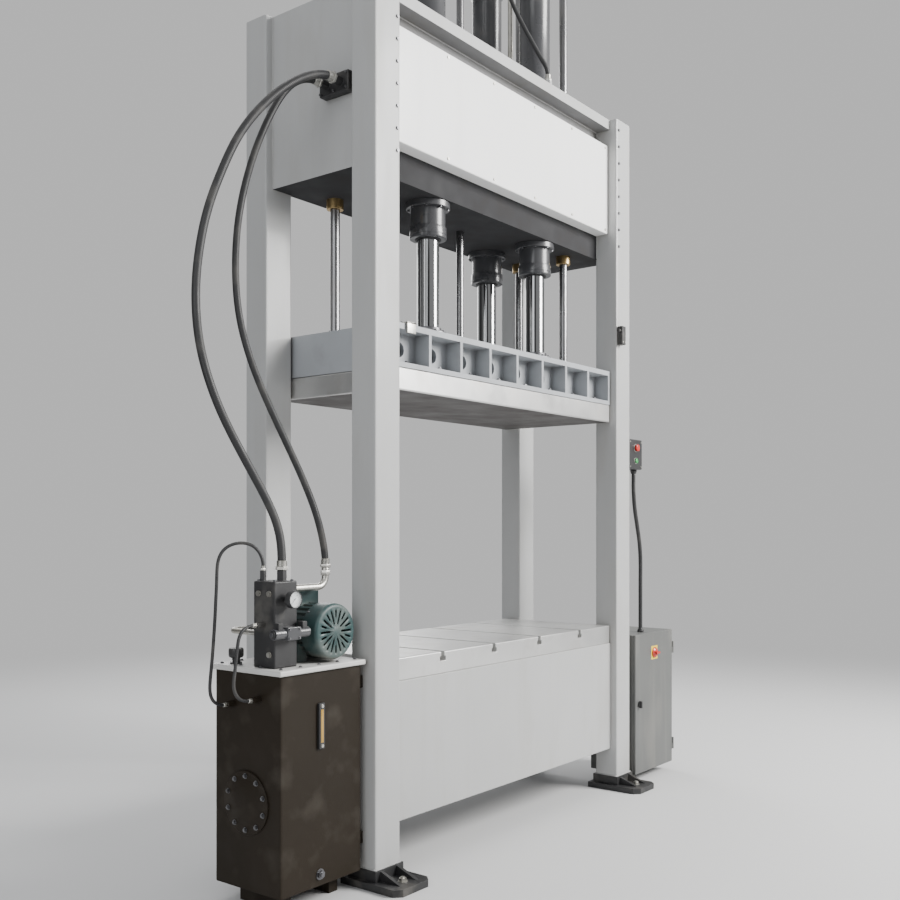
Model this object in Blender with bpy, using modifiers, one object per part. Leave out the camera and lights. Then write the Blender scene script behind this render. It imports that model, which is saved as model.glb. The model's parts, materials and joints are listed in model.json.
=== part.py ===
"""Four-post hydraulic press with a twin-row of cylinders, a guided platen, a power unit and a control cabinet.

Metres, +Z up. The origin is on the floor at the middle of the press, and the front faces -Y.
"""
import math

import bmesh
import bpy
from mathutils import Matrix, Vector

# Fits shared by every piece
FIT_GAP = 0.0003
PISTON_CLEARANCE = 0.0005
OVERRUN = 0.02
WELD_OVERLAP = 0.002
MERGE_DISTANCE = 0.00005
FINE_STEPS = 20
COARSE_STEPS = 12
CORNER_SEGMENTS = 2
END_SHARE = 0.5

# Outer frame
FRAME_WIDTH = 2.20
FRAME_DEPTH = 0.80
POST_WIDTH = 0.16
POST_DEPTH = 0.14
POST_WALL = 0.010
POST_CORNER_RADIUS = 0.014

# Feet under the posts
FOOT_WIDTH = 0.22
FOOT_TOE = 0.15
FOOT_HEEL = 0.03
FOOT_PLATE_THICKNESS = 0.030
FOOT_PAD_HEIGHT = 0.045
FOOT_PAD_MARGIN = 0.008
FOOT_CHAMFER = 0.030
GUSSET_THICKNESS = 0.016
GUSSET_HEIGHT = 0.062
GUSSET_SPACING = 0.10
ANCHOR_HOLE_RADIUS = 0.011

# Bed and bolster
BED_UNDERSIDE = 0.23
BED_HEIGHT = 0.60
BED_WALL = 0.030
BED_TOP_THICKNESS = 0.050
BED_FRONT_RECESS = 0.04
BED_CELLS_ACROSS = 6
BED_CELLS_DEEP = 2
BOLSTER_THICKNESS = 0.10
BOLSTER_CHAMFER = 0.004
SLOT_COUNT = 4
SLOT_SPACING = 0.40
SLOT_NECK_WIDTH = 0.024
SLOT_HEAD_WIDTH = 0.042
SLOT_NECK_DEPTH = 0.022
SLOT_HEAD_DEPTH = 0.020

# Crown
CROWN_HEIGHT = 0.78
CROWN_BODY_DEPTH = 0.54
CROWN_WALL = 0.025
CROWN_RIB = 0.020
CROWN_TOP_THICKNESS = 0.055
CROWN_BOTTOM_THICKNESS = 0.035
CROWN_END_RECESS = 0.04
CROWN_FLANGE_RECESS = 0.045
COVER_RISE = 0.133
COVER_HEIGHT = 0.503
COVER_RECESS = 0.055
COVER_SHEET = 0.003
COVER_CORNER_RADIUS = 0.006
COVER_SIDE_GAP = 0.004

# Cylinders, two rows of two
CYLINDER_SPAN_X = 0.92
CYLINDER_SPAN_Y = 0.32
BARREL_RADIUS = 0.0825
BORE_RADIUS = 0.065
RAM_RADIUS = 0.0525
BARREL_DROP = 0.17
GLAND_LENGTH = 0.08
GLAND_RADIUS = 0.088
GLAND_COLLAR_LENGTH = 0.055
MOUNT_RING_RADIUS = 0.105
MOUNT_RING_THICKNESS = 0.028
LOCK_RING_RADIUS = 0.108
LOCK_RING_THICKNESS = 0.035
HEAD_THICKNESS = 0.06
HEAD_BAND_RADIUS = 0.090
HEAD_BAND_LENGTH = 0.045
END_CUSHION = 0.09
TOP_CUSHION = 0.12
PISTON_LENGTH = 0.10
TURNED_CHAMFER = 0.004
RAM_FLANGE_RADIUS = 0.088
RAM_FLANGE_THICKNESS = 0.038
RAM_NECK_RADIUS = 0.064
RAM_NECK_LENGTH = 0.022

# Platen travel and plates
RAM_SHOW = 0.6497
STROKE_DOWN = 0.85
STROKE_UP = 0.35
PLATEN_UNDERSIDE = 2.08
PLATEN_SIDE_GAP = 0.010
PLATEN_DEPTH = 0.72
DIE_PLATE_THICKNESS = 0.10
DIE_PLATE_CHAMFER = 0.005
PLATEN_HEIGHT = 0.19
PLATEN_BOTTOM_SKIN = 0.022
PLATEN_TOP_SKIN = 0.026
PLATEN_WEB = 0.020
PLATEN_POCKET_DEPTH = 0.085
PLATEN_RIB = 0.018
PLATEN_BAYS = 8
LIGHTENING_RADIUS = 0.034

# Guide rods
GUIDE_SPAN_X = 1.54
GUIDE_SPAN_Y = 0.30
GUIDE_RADIUS = 0.0225
GUIDE_PROUD = 0.07
GUIDE_COLLAR_RADIUS = 0.046
GUIDE_COLLAR_THICKNESS = 0.028
BUSH_RADIUS = 0.040
BUSH_FLANGE_RADIUS = 0.062
BUSH_FLANGE_THICKNESS = 0.024
BUSH_NOSE = 0.045
CENTRE_ROD_RADIUS = 0.019
CENTRE_ROD_PROUD = 0.03
CENTRE_COLLAR_RADIUS = 0.040

# Pipes over the cylinders
PIPE_RADIUS = 0.014
PIPE_RISE = 0.11
PIPE_COLLAR_RADIUS = 0.026
PIPE_COLLAR_LENGTH = 0.032
PIPE_CROWN_RADIUS = 0.05

# Side units: the tank on the left and the cabinet on the right reach as far out
SIDE_REACH = 0.52
SIDE_CLEARANCE = 0.03

# Oil tank
TANK_PORT_LENGTH = 0.04
TANK_FRONT_RECESS = 0.05
TANK_DEPTH = 0.38
TANK_UNDERSIDE = 0.08
TANK_TOP = 0.925
TANK_SHEET = 0.006
TANK_CORNER_RADIUS = 0.012
TANK_SKID_WIDTH = 0.05
TANK_SKID_INSET = 0.07
TANK_LUG_HEIGHT = 0.05
TANK_LUG_DEPTH = 0.05
TANK_LUG_INSET = 0.02
TANK_LUG_LIFT = 0.10
LID_THICKNESS = 0.022
LID_OVERHANG = 0.014
LID_CHAMFER = 0.004
TANK_PORT_RADIUS = 0.014

# Motor and pump on the lid
MOTOR_OFFSET = 0.165
MOTOR_RECESS = 0.135
MOTOR_LENGTH = 0.20
MOTOR_TIP_RADIUS = 0.110
MOTOR_ROOT_RADIUS = 0.098
MOTOR_FINS = 24
MOTOR_BELL_RADIUS = 0.100
MOTOR_BELL_LENGTH = 0.020
MOTOR_FOOT_HEIGHT = 0.014
MOTOR_FOOT_WIDTH = 0.050
MOTOR_FOOT_SPREAD = 0.082
TERMINAL_WIDTH = 0.10
TERMINAL_LENGTH = 0.11
TERMINAL_HEIGHT = 0.055
TERMINAL_SEAT_SHARE = 0.85
FAN_COVER_LENGTH = 0.070
FAN_COVER_LAP = 0.014
FAN_COVER_SHEET = 0.0025
FAN_COVER_ROUND = 0.016
FAN_SLOTS = 10
FAN_SLOT_WIDTH = 0.014
FAN_SLOT_INNER = 0.030
FAN_SLOT_OUTER = 0.086
SHAFT_RADIUS = 0.012
SHAFT_SEAT = 0.040
FAN_RADIUS = 0.090
FAN_HUB_RADIUS = 0.030
FAN_WIDTH = 0.028
FAN_BLADES = 6
FAN_BLADE_THICKNESS = 0.006
FAN_INSET = 0.012
PUMP_BELL_LENGTH = 0.050
PUMP_BELL_RADIUS = 0.078
PUMP_BELL_NECK = 0.062
PUMP_BODY_LENGTH = 0.070
PUMP_BODY_RADIUS = 0.052

# Valve manifold, valve and gauge
MANIFOLD_OFFSET = 0.400
MANIFOLD_RECESS = 0.165
MANIFOLD_WIDTH = 0.12
MANIFOLD_DEPTH = 0.12
MANIFOLD_HEIGHT = 0.335
MANIFOLD_CHAMFER = 0.004
PORT_SHIFT_SHARE = 0.28
PORT_RADIUS = 0.020
PORT_LENGTH = 0.040
SMALL_PORT_RADIUS = 0.013
VALVE_RISE = 0.135
VALVE_WIDTH = 0.070
VALVE_HEIGHT = 0.050
VALVE_DEPTH = 0.048
COIL_RADIUS = 0.021
COIL_LENGTH = 0.055
COIL_TIP_RADIUS = 0.009
COIL_TIP_LENGTH = 0.010
GAUGE_RISE = 0.265
GAUGE_RADIUS = 0.034
GAUGE_DEPTH = 0.030
GAUGE_RIM = 0.004
GAUGE_STEM_RADIUS = 0.007
GAUGE_STEM_LENGTH = 0.025
NEEDLE_LENGTH = 0.022
NEEDLE_WIDTH = 0.0032
NEEDLE_THICKNESS = 0.0012
NEEDLE_PIN_RADIUS = 0.0022
NEEDLE_PIN_LENGTH = 0.005
NEEDLE_LIFT = 0.002
TRANSFER_RISE = 0.300
TRANSFER_RADIUS = 0.0145
TRANSFER_OFFSET = 0.125
TRANSFER_LIFT = 0.0427
PUMP_PIPE_RADIUS = 0.011

# Hose port block on the left end of the crown
PORT_BLOCK_THICKNESS = 0.045
PORT_BLOCK_HEIGHT = 0.085
PORT_BLOCK_DEPTH = 0.170
PORT_BLOCK_Y = -0.165
PORT_BLOCK_DROP = 0.425
PORT_SPACING = 0.080

# Hoses
MAIN_HOSE_RADIUS = 0.017
RETURN_HOSE_RADIUS = 0.0145
PILOT_HOSE_RADIUS = 0.0065
JUMPER_HOSE_RADIUS = 0.0115
MAIN_HOSE_POINTS = 34
SHORT_HOSE_POINTS = 26

# Hose routes between the fittings, as points in space
OUTER_LOOP = [
    (-1.31, -0.175, 3.325), (-1.43, -0.125, 3.215), (-1.54, -0.080, 3.060), (-1.61, -0.045, 2.890),
    (-1.665, -0.015, 2.700), (-1.70, 0.000, 2.450), (-1.695, -0.015, 2.210), (-1.650, -0.060, 1.990),
    (-1.580, -0.115, 1.800), (-1.510, -0.180, 1.620), (-1.470, -0.222, 1.480),
]
INNER_LOOP = [
    (-1.30, -0.105, 3.290), (-1.385, -0.070, 3.160), (-1.445, -0.030, 2.970), (-1.485, -0.005, 2.760),
    (-1.500, 0.000, 2.540), (-1.485, -0.010, 2.330), (-1.440, -0.045, 2.130), (-1.375, -0.100, 1.930),
    (-1.305, -0.160, 1.730), (-1.250, -0.210, 1.540),
]
PILOT_OUTER_LOOP = [
    (-1.575, -0.180, 1.425), (-1.630, -0.140, 1.405), (-1.672, -0.100, 1.300), (-1.690, -0.085, 1.150),
    (-1.700, -0.082, 1.000), (-1.698, -0.085, 0.900),
]
PILOT_INNER_LOOP = [(-1.680, -0.232, 1.040), (-1.700, -0.232, 0.950)]
JUMPER_LOOP = [
    (0.348, -0.300, 3.965), (0.318, -0.275, 4.055), (0.275, -0.240, 4.140), (0.235, -0.205, 4.220),
    (0.214, -0.178, 4.300), (0.234, -0.163, 4.370),
]
HOSE_LEAD = 0.045
JUMPER_FOOT_X = 0.36
JUMPER_FOOT_RECESS = 0.09
JUMPER_HEAD_DROP = 0.10

# Control cabinet
CABINET_DEPTH = 0.28
CABINET_UNDERSIDE = 0.05
CABINET_TOP = 0.86
CABINET_SHEET = 0.004
CABINET_RIM = 0.022
CABINET_CORNER_RADIUS = 0.0035
CABINET_LUG = 0.06
DOOR_THICKNESS = 0.018
DOOR_SHEET = 0.003
HINGE_RADIUS = 0.007
HINGE_LENGTH = 0.035
HINGE_INSET = 0.11
LATCH_RADIUS = 0.014
LATCH_THICKNESS = 0.010
LATCH_WING_LENGTH = 0.040
LATCH_WING_WIDTH = 0.011
LATCH_WING_HEIGHT = 0.012
LATCH_STEM_RADIUS = 0.006
LATCH_INSET = 0.040
MAIN_SWITCH_SIZE = 0.060
MAIN_SWITCH_DROP = 0.12
MAIN_SWITCH_COLLAR = 0.007
MAIN_SWITCH_HANDLE_RADIUS = 0.021
MAIN_SWITCH_GRIP_WIDTH = 0.012
MAIN_SWITCH_GRIP_HEIGHT = 0.014

# Operator's switch box on the right front post
BOX_WIDTH = 0.165
BOX_DEPTH = 0.085
BOX_HEIGHT = 0.175
BOX_UNDERSIDE = 1.825
BOX_FRONT_RECESS = 0.008
BOX_CORNER_RADIUS = 0.008
BUTTON_HOLE_RADIUS = 0.011
BUTTON_HOLE_DEPTH = 0.020
STOP_HEAD_RADIUS = 0.020
STOP_HEAD_THICKNESS = 0.012
STOP_TRAVEL = 0.006
START_HEAD_RADIUS = 0.0145
START_HEAD_THICKNESS = 0.006
START_TRAVEL = 0.004
BUTTON_STEM_LENGTH = 0.012
BUTTON_SPACING = 0.075
CONDUIT_RADIUS = 0.0125
CONDUIT_GLAND_RADIUS = 0.019
CONDUIT_GLAND_LENGTH = 0.022
CONDUIT_LOW_SHARES = (0.0, 0.12, 0.30, 0.50)
CONDUIT_HIGH_SHARES = (0.84, 1.0)
CONDUIT_POINTS = 20

# Position sensor on the right front post
SENSOR_WIDTH = 0.042
SENSOR_DEPTH = 0.034
SENSOR_HEIGHT = 0.105
SENSOR_Z = 2.52
SENSOR_CORNER_RADIUS = 0.004
SENSOR_NOSE_RADIUS = 0.009
SENSOR_NOSE_LENGTH = 0.018

# Places that follow from the sizes above
HALF_WIDTH = FRAME_WIDTH / 2
HALF_DEPTH = FRAME_DEPTH / 2
POST_X = HALF_WIDTH - POST_WIDTH / 2
POST_Y = HALF_DEPTH - POST_DEPTH / 2
INNER_X = HALF_WIDTH - POST_WIDTH
INNER_Y = HALF_DEPTH - POST_DEPTH
FOOT_TOP = FOOT_PLATE_THICKNESS + FOOT_PAD_HEIGHT
BED_TOP = BED_UNDERSIDE + BED_HEIGHT
PLATEN_HALF_X = INNER_X - PLATEN_SIDE_GAP
PLATEN_BASE = PLATEN_UNDERSIDE + DIE_PLATE_THICKNESS + FIT_GAP
PLATEN_TOP = PLATEN_BASE + PLATEN_HEIGHT
CROWN_UNDERSIDE = PLATEN_TOP + RAM_SHOW
FRAME_HEIGHT = CROWN_UNDERSIDE + CROWN_HEIGHT
BARREL_END = CROWN_UNDERSIDE - BARREL_DROP
GLAND_TOP = BARREL_END + GLAND_LENGTH
PISTON_BASE = GLAND_TOP + END_CUSHION + STROKE_DOWN
PISTON_TOP = PISTON_BASE + PISTON_LENGTH
BORE_TOP = PISTON_TOP + STROKE_UP + TOP_CUSHION
BARREL_TOP = BORE_TOP + HEAD_THICKNESS
GUIDE_TOP = FRAME_HEIGHT + BUSH_FLANGE_THICKNESS + STROKE_DOWN + GUIDE_PROUD
CENTRE_ROD_TOP = FRAME_HEIGHT + STROKE_DOWN + CENTRE_ROD_PROUD
TANK_LEFT = -HALF_WIDTH - SIDE_REACH + TANK_PORT_LENGTH
TANK_RIGHT = -HALF_WIDTH - SIDE_CLEARANCE
TANK_FRONT = -HALF_DEPTH + TANK_FRONT_RECESS
TANK_BACK = TANK_FRONT + TANK_DEPTH
LID_TOP = TANK_TOP + FIT_GAP + LID_THICKNESS
MOTOR_X = -HALF_WIDTH - MOTOR_OFFSET
MOTOR_FRONT_Y = -HALF_DEPTH + MOTOR_RECESS
MOTOR_Z = LID_TOP + FIT_GAP + MOTOR_FOOT_HEIGHT + MOTOR_TIP_RADIUS
MOTOR_BACK_Y = MOTOR_FRONT_Y + MOTOR_LENGTH
MANIFOLD_X = -HALF_WIDTH - MANIFOLD_OFFSET
MANIFOLD_Y = -HALF_DEPTH + MANIFOLD_RECESS
MANIFOLD_BASE = LID_TOP + FIT_GAP
MANIFOLD_TOP = MANIFOLD_BASE + MANIFOLD_HEIGHT
TRANSFER_X = -HALF_WIDTH - TRANSFER_OFFSET
TRANSFER_TOP = MANIFOLD_TOP + TRANSFER_LIFT
PORT_BLOCK_Z = FRAME_HEIGHT - PORT_BLOCK_DROP
CABINET_LEFT = HALF_WIDTH + SIDE_CLEARANCE
CABINET_RIGHT = HALF_WIDTH + SIDE_REACH - HINGE_RADIUS * 2
CABINET_FRONT = -HALF_DEPTH
DOOR_BACK = CABINET_FRONT - FIT_GAP
DOOR_FRONT = DOOR_BACK - DOOR_THICKNESS
HINGE_X = CABINET_RIGHT + HINGE_RADIUS
HINGE_Y = DOOR_FRONT
BOX_FRONT = -HALF_DEPTH + BOX_FRONT_RECESS
BOX_LEFT = HALF_WIDTH + FIT_GAP
BOX_MIDDLE_X = BOX_LEFT + BOX_WIDTH / 2
STOP_Z = BOX_UNDERSIDE + BOX_HEIGHT / 2 + BUTTON_SPACING / 2
START_Z = BOX_UNDERSIDE + BOX_HEIGHT / 2 - BUTTON_SPACING / 2
GAUGE_Z = MANIFOLD_BASE + GAUGE_RISE
GAUGE_BACK = MANIFOLD_Y - MANIFOLD_DEPTH / 2 - FIT_GAP

SIDES = {"left": -1, "right": 1}
ROWS = {"front": -1, "rear": 1}


def clear_scene():
    """Remove whatever the scene holds."""
    for thing in list(bpy.data.objects):
        bpy.data.objects.remove(thing)


def make_collection(name):
    """Return a new collection linked to the scene."""
    group = bpy.data.collections.new(name)
    bpy.context.scene.collection.children.link(group)
    return group


clear_scene()
PARTS = make_collection("hydraulic_press")
CUTTERS = make_collection("cutters")


def make_material(name, colour, roughness, metallic=0.0):
    """Return a plain surface with one colour."""
    material = bpy.data.materials.new(name)
    material.use_nodes = True
    shader = material.node_tree.nodes["Principled BSDF"]
    shader.inputs["Base Color"].default_value = (*colour, 1.0)
    shader.inputs["Roughness"].default_value = roughness
    shader.inputs["Metallic"].default_value = metallic
    material.diffuse_color = (*colour, 1.0)
    return material


FRAME_PAINT = make_material("frame_paint", (0.72, 0.72, 0.71), 0.45)
COVER_PAINT = make_material("cover_paint", (0.90, 0.90, 0.89), 0.40)
CROWN_PAINT = make_material("crown_paint", (0.52, 0.52, 0.51), 0.50)
BLACK_PAINT = make_material("black_paint", (0.03, 0.03, 0.03), 0.45)
BARREL_PAINT = make_material("barrel_paint", (0.10, 0.10, 0.11), 0.40)
PLATEN_PAINT = make_material("platen_paint", (0.46, 0.49, 0.53), 0.45)
GROUND_STEEL = make_material("ground_steel", (0.72, 0.72, 0.70), 0.30, 1.0)
CHROME = make_material("chrome", (0.82, 0.83, 0.84), 0.12, 1.0)
BRONZE = make_material("bronze", (0.42, 0.30, 0.16), 0.35, 1.0)
TANK_PAINT = make_material("tank_paint", (0.05, 0.05, 0.055), 0.50)
LID_PAINT = make_material("lid_paint", (0.80, 0.79, 0.76), 0.45)
MOTOR_PAINT = make_material("motor_paint", (0.07, 0.20, 0.22), 0.45)
ZINC = make_material("zinc", (0.55, 0.55, 0.53), 0.35, 1.0)
RUBBER = make_material("rubber", (0.025, 0.025, 0.025), 0.60)
CABINET_PAINT = make_material("cabinet_paint", (0.50, 0.52, 0.45), 0.50)
BLACK_PLASTIC = make_material("black_plastic", (0.03, 0.03, 0.03), 0.40)
RED_PLASTIC = make_material("red_plastic", (0.60, 0.03, 0.02), 0.35)
GREEN_PLASTIC = make_material("green_plastic", (0.04, 0.35, 0.08), 0.35)
DIAL_WHITE = make_material("dial_white", (0.85, 0.85, 0.83), 0.35)


def mirrored(points):
    """Return a list of half-outline points followed by their mirror in the Y axis."""
    return points + [(-x, y) for x, y in reversed(points)]


def add_object(name, data, material, group=None):
    """Link a named object that carries the data and one material."""
    thing = bpy.data.objects.new(name, data)
    data.materials.append(material)
    (group or PARTS).objects.link(thing)
    return thing


def hide_cutter(thing):
    """Mark an object as one that only cuts or joins."""
    thing.hide_render = True
    thing.display_type = "WIRE"
    return thing


def add_boxes(name, boxes, material, group=None):
    """Make one object of separate boxes, each given by its low and high corner."""
    mesh = bpy.data.meshes.new(name)
    shape = bmesh.new()
    for low, high in boxes:
        low = Vector(low)
        size = Vector(high) - low
        place = Matrix.Translation(low + size / 2) @ Matrix.Diagonal((*size, 1.0))
        bmesh.ops.create_cube(shape, size=1.0, matrix=place)
    shape.to_mesh(mesh)
    shape.free()
    return add_object(name, mesh, material, group)


def add_block(name, low, high, material, group=None):
    """Make a box whose object stands at its own centre."""
    low = Vector(low)
    high = Vector(high)
    half = (high - low) / 2
    block = add_boxes(name, [(-half, half)], material, group)
    block.location = low + half
    return block


def add_bevel(thing, width, segments=1, angle=math.radians(40)):
    """Round or chamfer the sharp edges."""
    bevel = thing.modifiers.new("edges", "BEVEL")
    bevel.width = width
    bevel.segments = segments
    bevel.limit_method = "ANGLE"
    bevel.angle_limit = angle
    return thing


def add_prism(name, outline, thickness, material, group=None, turn=None):
    """Extrude a closed flat outline, half to each side of its own plane."""
    mesh = bpy.data.meshes.new(name)
    count = len(outline)
    edges = [(index, (index + 1) % count) for index in range(count)]
    mesh.from_pydata([(x, y, -thickness / 2) for x, y in outline], edges, [])
    shape = bmesh.new()
    shape.from_mesh(mesh)
    floor = bmesh.ops.contextual_create(shape, geom=shape.edges[:])["faces"]
    raised = bmesh.ops.extrude_face_region(shape, geom=floor)["geom"]
    lifted = [item for item in raised if isinstance(item, bmesh.types.BMVert)]
    bmesh.ops.translate(shape, vec=(0.0, 0.0, thickness), verts=lifted)
    bmesh.ops.recalc_face_normals(shape, faces=shape.faces[:])
    if turn is not None:
        bmesh.ops.transform(shape, matrix=turn, verts=shape.verts[:])
    shape.to_mesh(mesh)
    shape.free()
    return add_object(name, mesh, material, group)


def curve_to_piece(name, curve, material, group=None, turn=None):
    """Turn a curve into a welded mesh object, so that it can be cut and joined."""
    guide = bpy.data.objects.new(name + "_guide", curve)
    PARTS.objects.link(guide)
    bpy.context.view_layer.update()
    evaluated = guide.evaluated_get(bpy.context.evaluated_depsgraph_get())
    mesh = bpy.data.meshes.new_from_object(evaluated)
    mesh.name = name
    bpy.data.objects.remove(guide)
    shape = bmesh.new()
    shape.from_mesh(mesh)
    bmesh.ops.remove_doubles(shape, verts=shape.verts, dist=MERGE_DISTANCE)
    bmesh.ops.recalc_face_normals(shape, faces=shape.faces)
    if turn is not None:
        bmesh.ops.transform(shape, matrix=turn, verts=shape.verts)
    shape.to_mesh(mesh)
    shape.free()
    return add_object(name, mesh, material, group)


def add_turned(name, profile, material, ring=False, steps=FINE_STEPS, group=None, axis="Z"):
    """Turn a profile of (radius, height) points about the object's own axis."""
    points = [(radius, 0.0, height) for radius, height in profile]
    edges = [(index, index + 1) for index in range(len(points) - 1)]
    if ring:
        edges.append((len(points) - 1, 0))
    mesh = bpy.data.meshes.new(name)
    mesh.from_pydata(points, edges, [])
    thing = add_object(name, mesh, material, group)
    screw = thing.modifiers.new("turn", "SCREW")
    screw.steps = steps
    screw.render_steps = steps
    screw.use_merge_vertices = True
    screw.merge_threshold = MERGE_DISTANCE
    screw.use_smooth_shade = False
    if axis == "X":
        thing.rotation_euler = (0.0, math.pi / 2, 0.0)
    if axis == "-X":
        thing.rotation_euler = (0.0, -math.pi / 2, 0.0)
    if axis == "Y":
        thing.rotation_euler = (-math.pi / 2, 0.0, 0.0)
    if axis == "-Y":
        thing.rotation_euler = (math.pi / 2, 0.0, 0.0)
    return thing


def clear_radius(radius, steps=COARSE_STEPS):
    """Return the corner radius of a faceted hole that a round piece can turn in."""
    return (radius + FIT_GAP) / math.cos(math.pi / steps)


def rod_profile(radius, low, high, chamfer=0.0):
    """Return the profile of a plain rod with chamfered ends."""
    if chamfer == 0.0:
        return [(0.0, high), (radius, high), (radius, low), (0.0, low)]
    return [
        (0.0, high), (radius - chamfer, high), (radius, high - chamfer),
        (radius, low + chamfer), (radius - chamfer, low), (0.0, low),
    ]


def add_rods(name, places, radius, low, high, steps=COARSE_STEPS, axis="Z"):
    """Make one cutter of separate cylinders that run along one axis through the places."""
    mesh = bpy.data.meshes.new(name)
    shape = bmesh.new()
    turns = {"Z": Matrix.Identity(4), "Y": Matrix.Rotation(-math.pi / 2, 4, "X"),
             "X": Matrix.Rotation(math.pi / 2, 4, "Y")}
    middle = Matrix.Translation((0.0, 0.0, (low + high) / 2))
    for place in places:
        matrix = Matrix.Translation(place) @ turns[axis] @ middle
        bmesh.ops.create_cone(shape, cap_ends=True, segments=steps, radius1=radius, radius2=radius,
                              depth=high - low, matrix=matrix)
    shape.to_mesh(mesh)
    shape.free()
    return hide_cutter(add_object(name, mesh, ZINC, CUTTERS))


def combine(thing, tool, operation):
    """Cut a tool out of a piece, or join it to the piece."""
    boolean = thing.modifiers.new(tool.name, "BOOLEAN")
    boolean.operation = operation
    boolean.solver = "EXACT"
    boolean.object = tool
    hide_cutter(tool)
    return thing


def cut(thing, tool):
    """Cut a tool out of a piece."""
    return combine(thing, tool, "DIFFERENCE")


def join(thing, tool):
    """Join a tool to a piece as one body."""
    return combine(thing, tool, "UNION")


def smooth_route(points, count):
    """Return evenly spaced points on a smooth curve through the route, which leaves its ends straight."""
    route = [Vector(point) for point in points]
    inner = [route[0].lerp(route[1], END_SHARE)] + route[1:-1] + [route[-1].lerp(route[-2], END_SHARE)]
    padded = [route[0]] + inner + [route[-1]]
    fine = []
    for index in range(1, len(padded) - 2):
        before, start, end, after = padded[index - 1:index + 3]
        for step in range(count):
            share = step / count
            fine.append(0.5 * (2 * start + (end - before) * share
                               + (2 * before - 5 * start + 4 * end - after) * share ** 2
                               + (3 * start - before - 3 * end + after) * share ** 3))
    fine.append(inner[-1])
    reach = [0.0]
    for first, second in zip(fine, fine[1:]):
        reach.append(reach[-1] + (second - first).length)
    result = [route[0]]
    index = 0
    spans = count - 3
    for number in range(spans + 1):
        target = reach[-1] * number / spans
        while index < len(reach) - 2 and reach[index + 1] < target:
            index += 1
        share = (target - reach[index]) / (reach[index + 1] - reach[index])
        result.append(fine[index].lerp(fine[index + 1], share))
    result.append(route[-1])
    return result


def add_tube(name, points, radius, material, group=None, as_mesh=False):
    """Run a round tube along the points."""
    curve = bpy.data.curves.new(name, "CURVE")
    curve.dimensions = "3D"
    curve.bevel_depth = radius
    curve.bevel_resolution = 2
    curve.use_fill_caps = True
    spline = curve.splines.new("POLY")
    spline.points.add(len(points) - 1)
    for point, place in zip(spline.points, points):
        point.co = (*place, 1.0)
    if as_mesh:
        return curve_to_piece(name, curve, material, group)
    return add_object(name, curve, material, group)


def smooth_shade(thing):
    """Shade a round piece smooth between its sharp edges."""
    if thing.type == "MESH":
        thing.data.shade_smooth()
    return thing


def add_empty(name, place):
    """Make an empty that carries the pieces of one moving body."""
    empty = bpy.data.objects.new(name, None)
    empty.location = place
    PARTS.objects.link(empty)
    bpy.context.view_layer.update()
    return empty


def carry(empty, *things):
    """Parent pieces to an empty and keep them where they are."""
    for thing in things:
        thing.parent = empty
        thing.matrix_parent_inverse = empty.matrix_world.inverted()


def cross_outline(half_front, half_end_x):
    """Return the plan outline of a beam that fills the space between four posts."""
    side = INNER_X - FIT_GAP
    waist = INNER_Y - FIT_GAP
    return mirrored([(side, -half_front), (side, -waist), (half_end_x, -waist),
                     (half_end_x, waist), (side, waist), (side, half_front)])


def add_post(row, side):
    """Make one post, a closed-top rectangular tube that is open at its foot."""
    name = f"post_{row}_{side}"
    base = FOOT_TOP + FIT_GAP
    height = FRAME_HEIGHT - base
    shape = bmesh.new()
    place = Matrix.Translation((0.0, 0.0, height / 2)) @ Matrix.Diagonal((POST_WIDTH, POST_DEPTH, height, 1.0))
    bmesh.ops.create_cube(shape, size=1.0, matrix=place)
    floor = [face for face in shape.faces if face.normal.z < -0.5]
    bmesh.ops.delete(shape, geom=floor, context="FACES_ONLY")
    corners = [edge for edge in shape.edges if abs(edge.verts[0].co.z - edge.verts[1].co.z) > height / 2]
    bmesh.ops.bevel(shape, geom=corners, offset=POST_CORNER_RADIUS, segments=CORNER_SEGMENTS, profile=0.5,
                    affect="EDGES")
    mesh = bpy.data.meshes.new(name)
    shape.to_mesh(mesh)
    shape.free()
    post = add_object(name, mesh, FRAME_PAINT)
    post.location = (SIDES[side] * POST_X, ROWS[row] * POST_Y, base)
    wall = post.modifiers.new("wall", "SOLIDIFY")
    wall.thickness = POST_WALL
    wall.offset = -1.0
    return post


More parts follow.
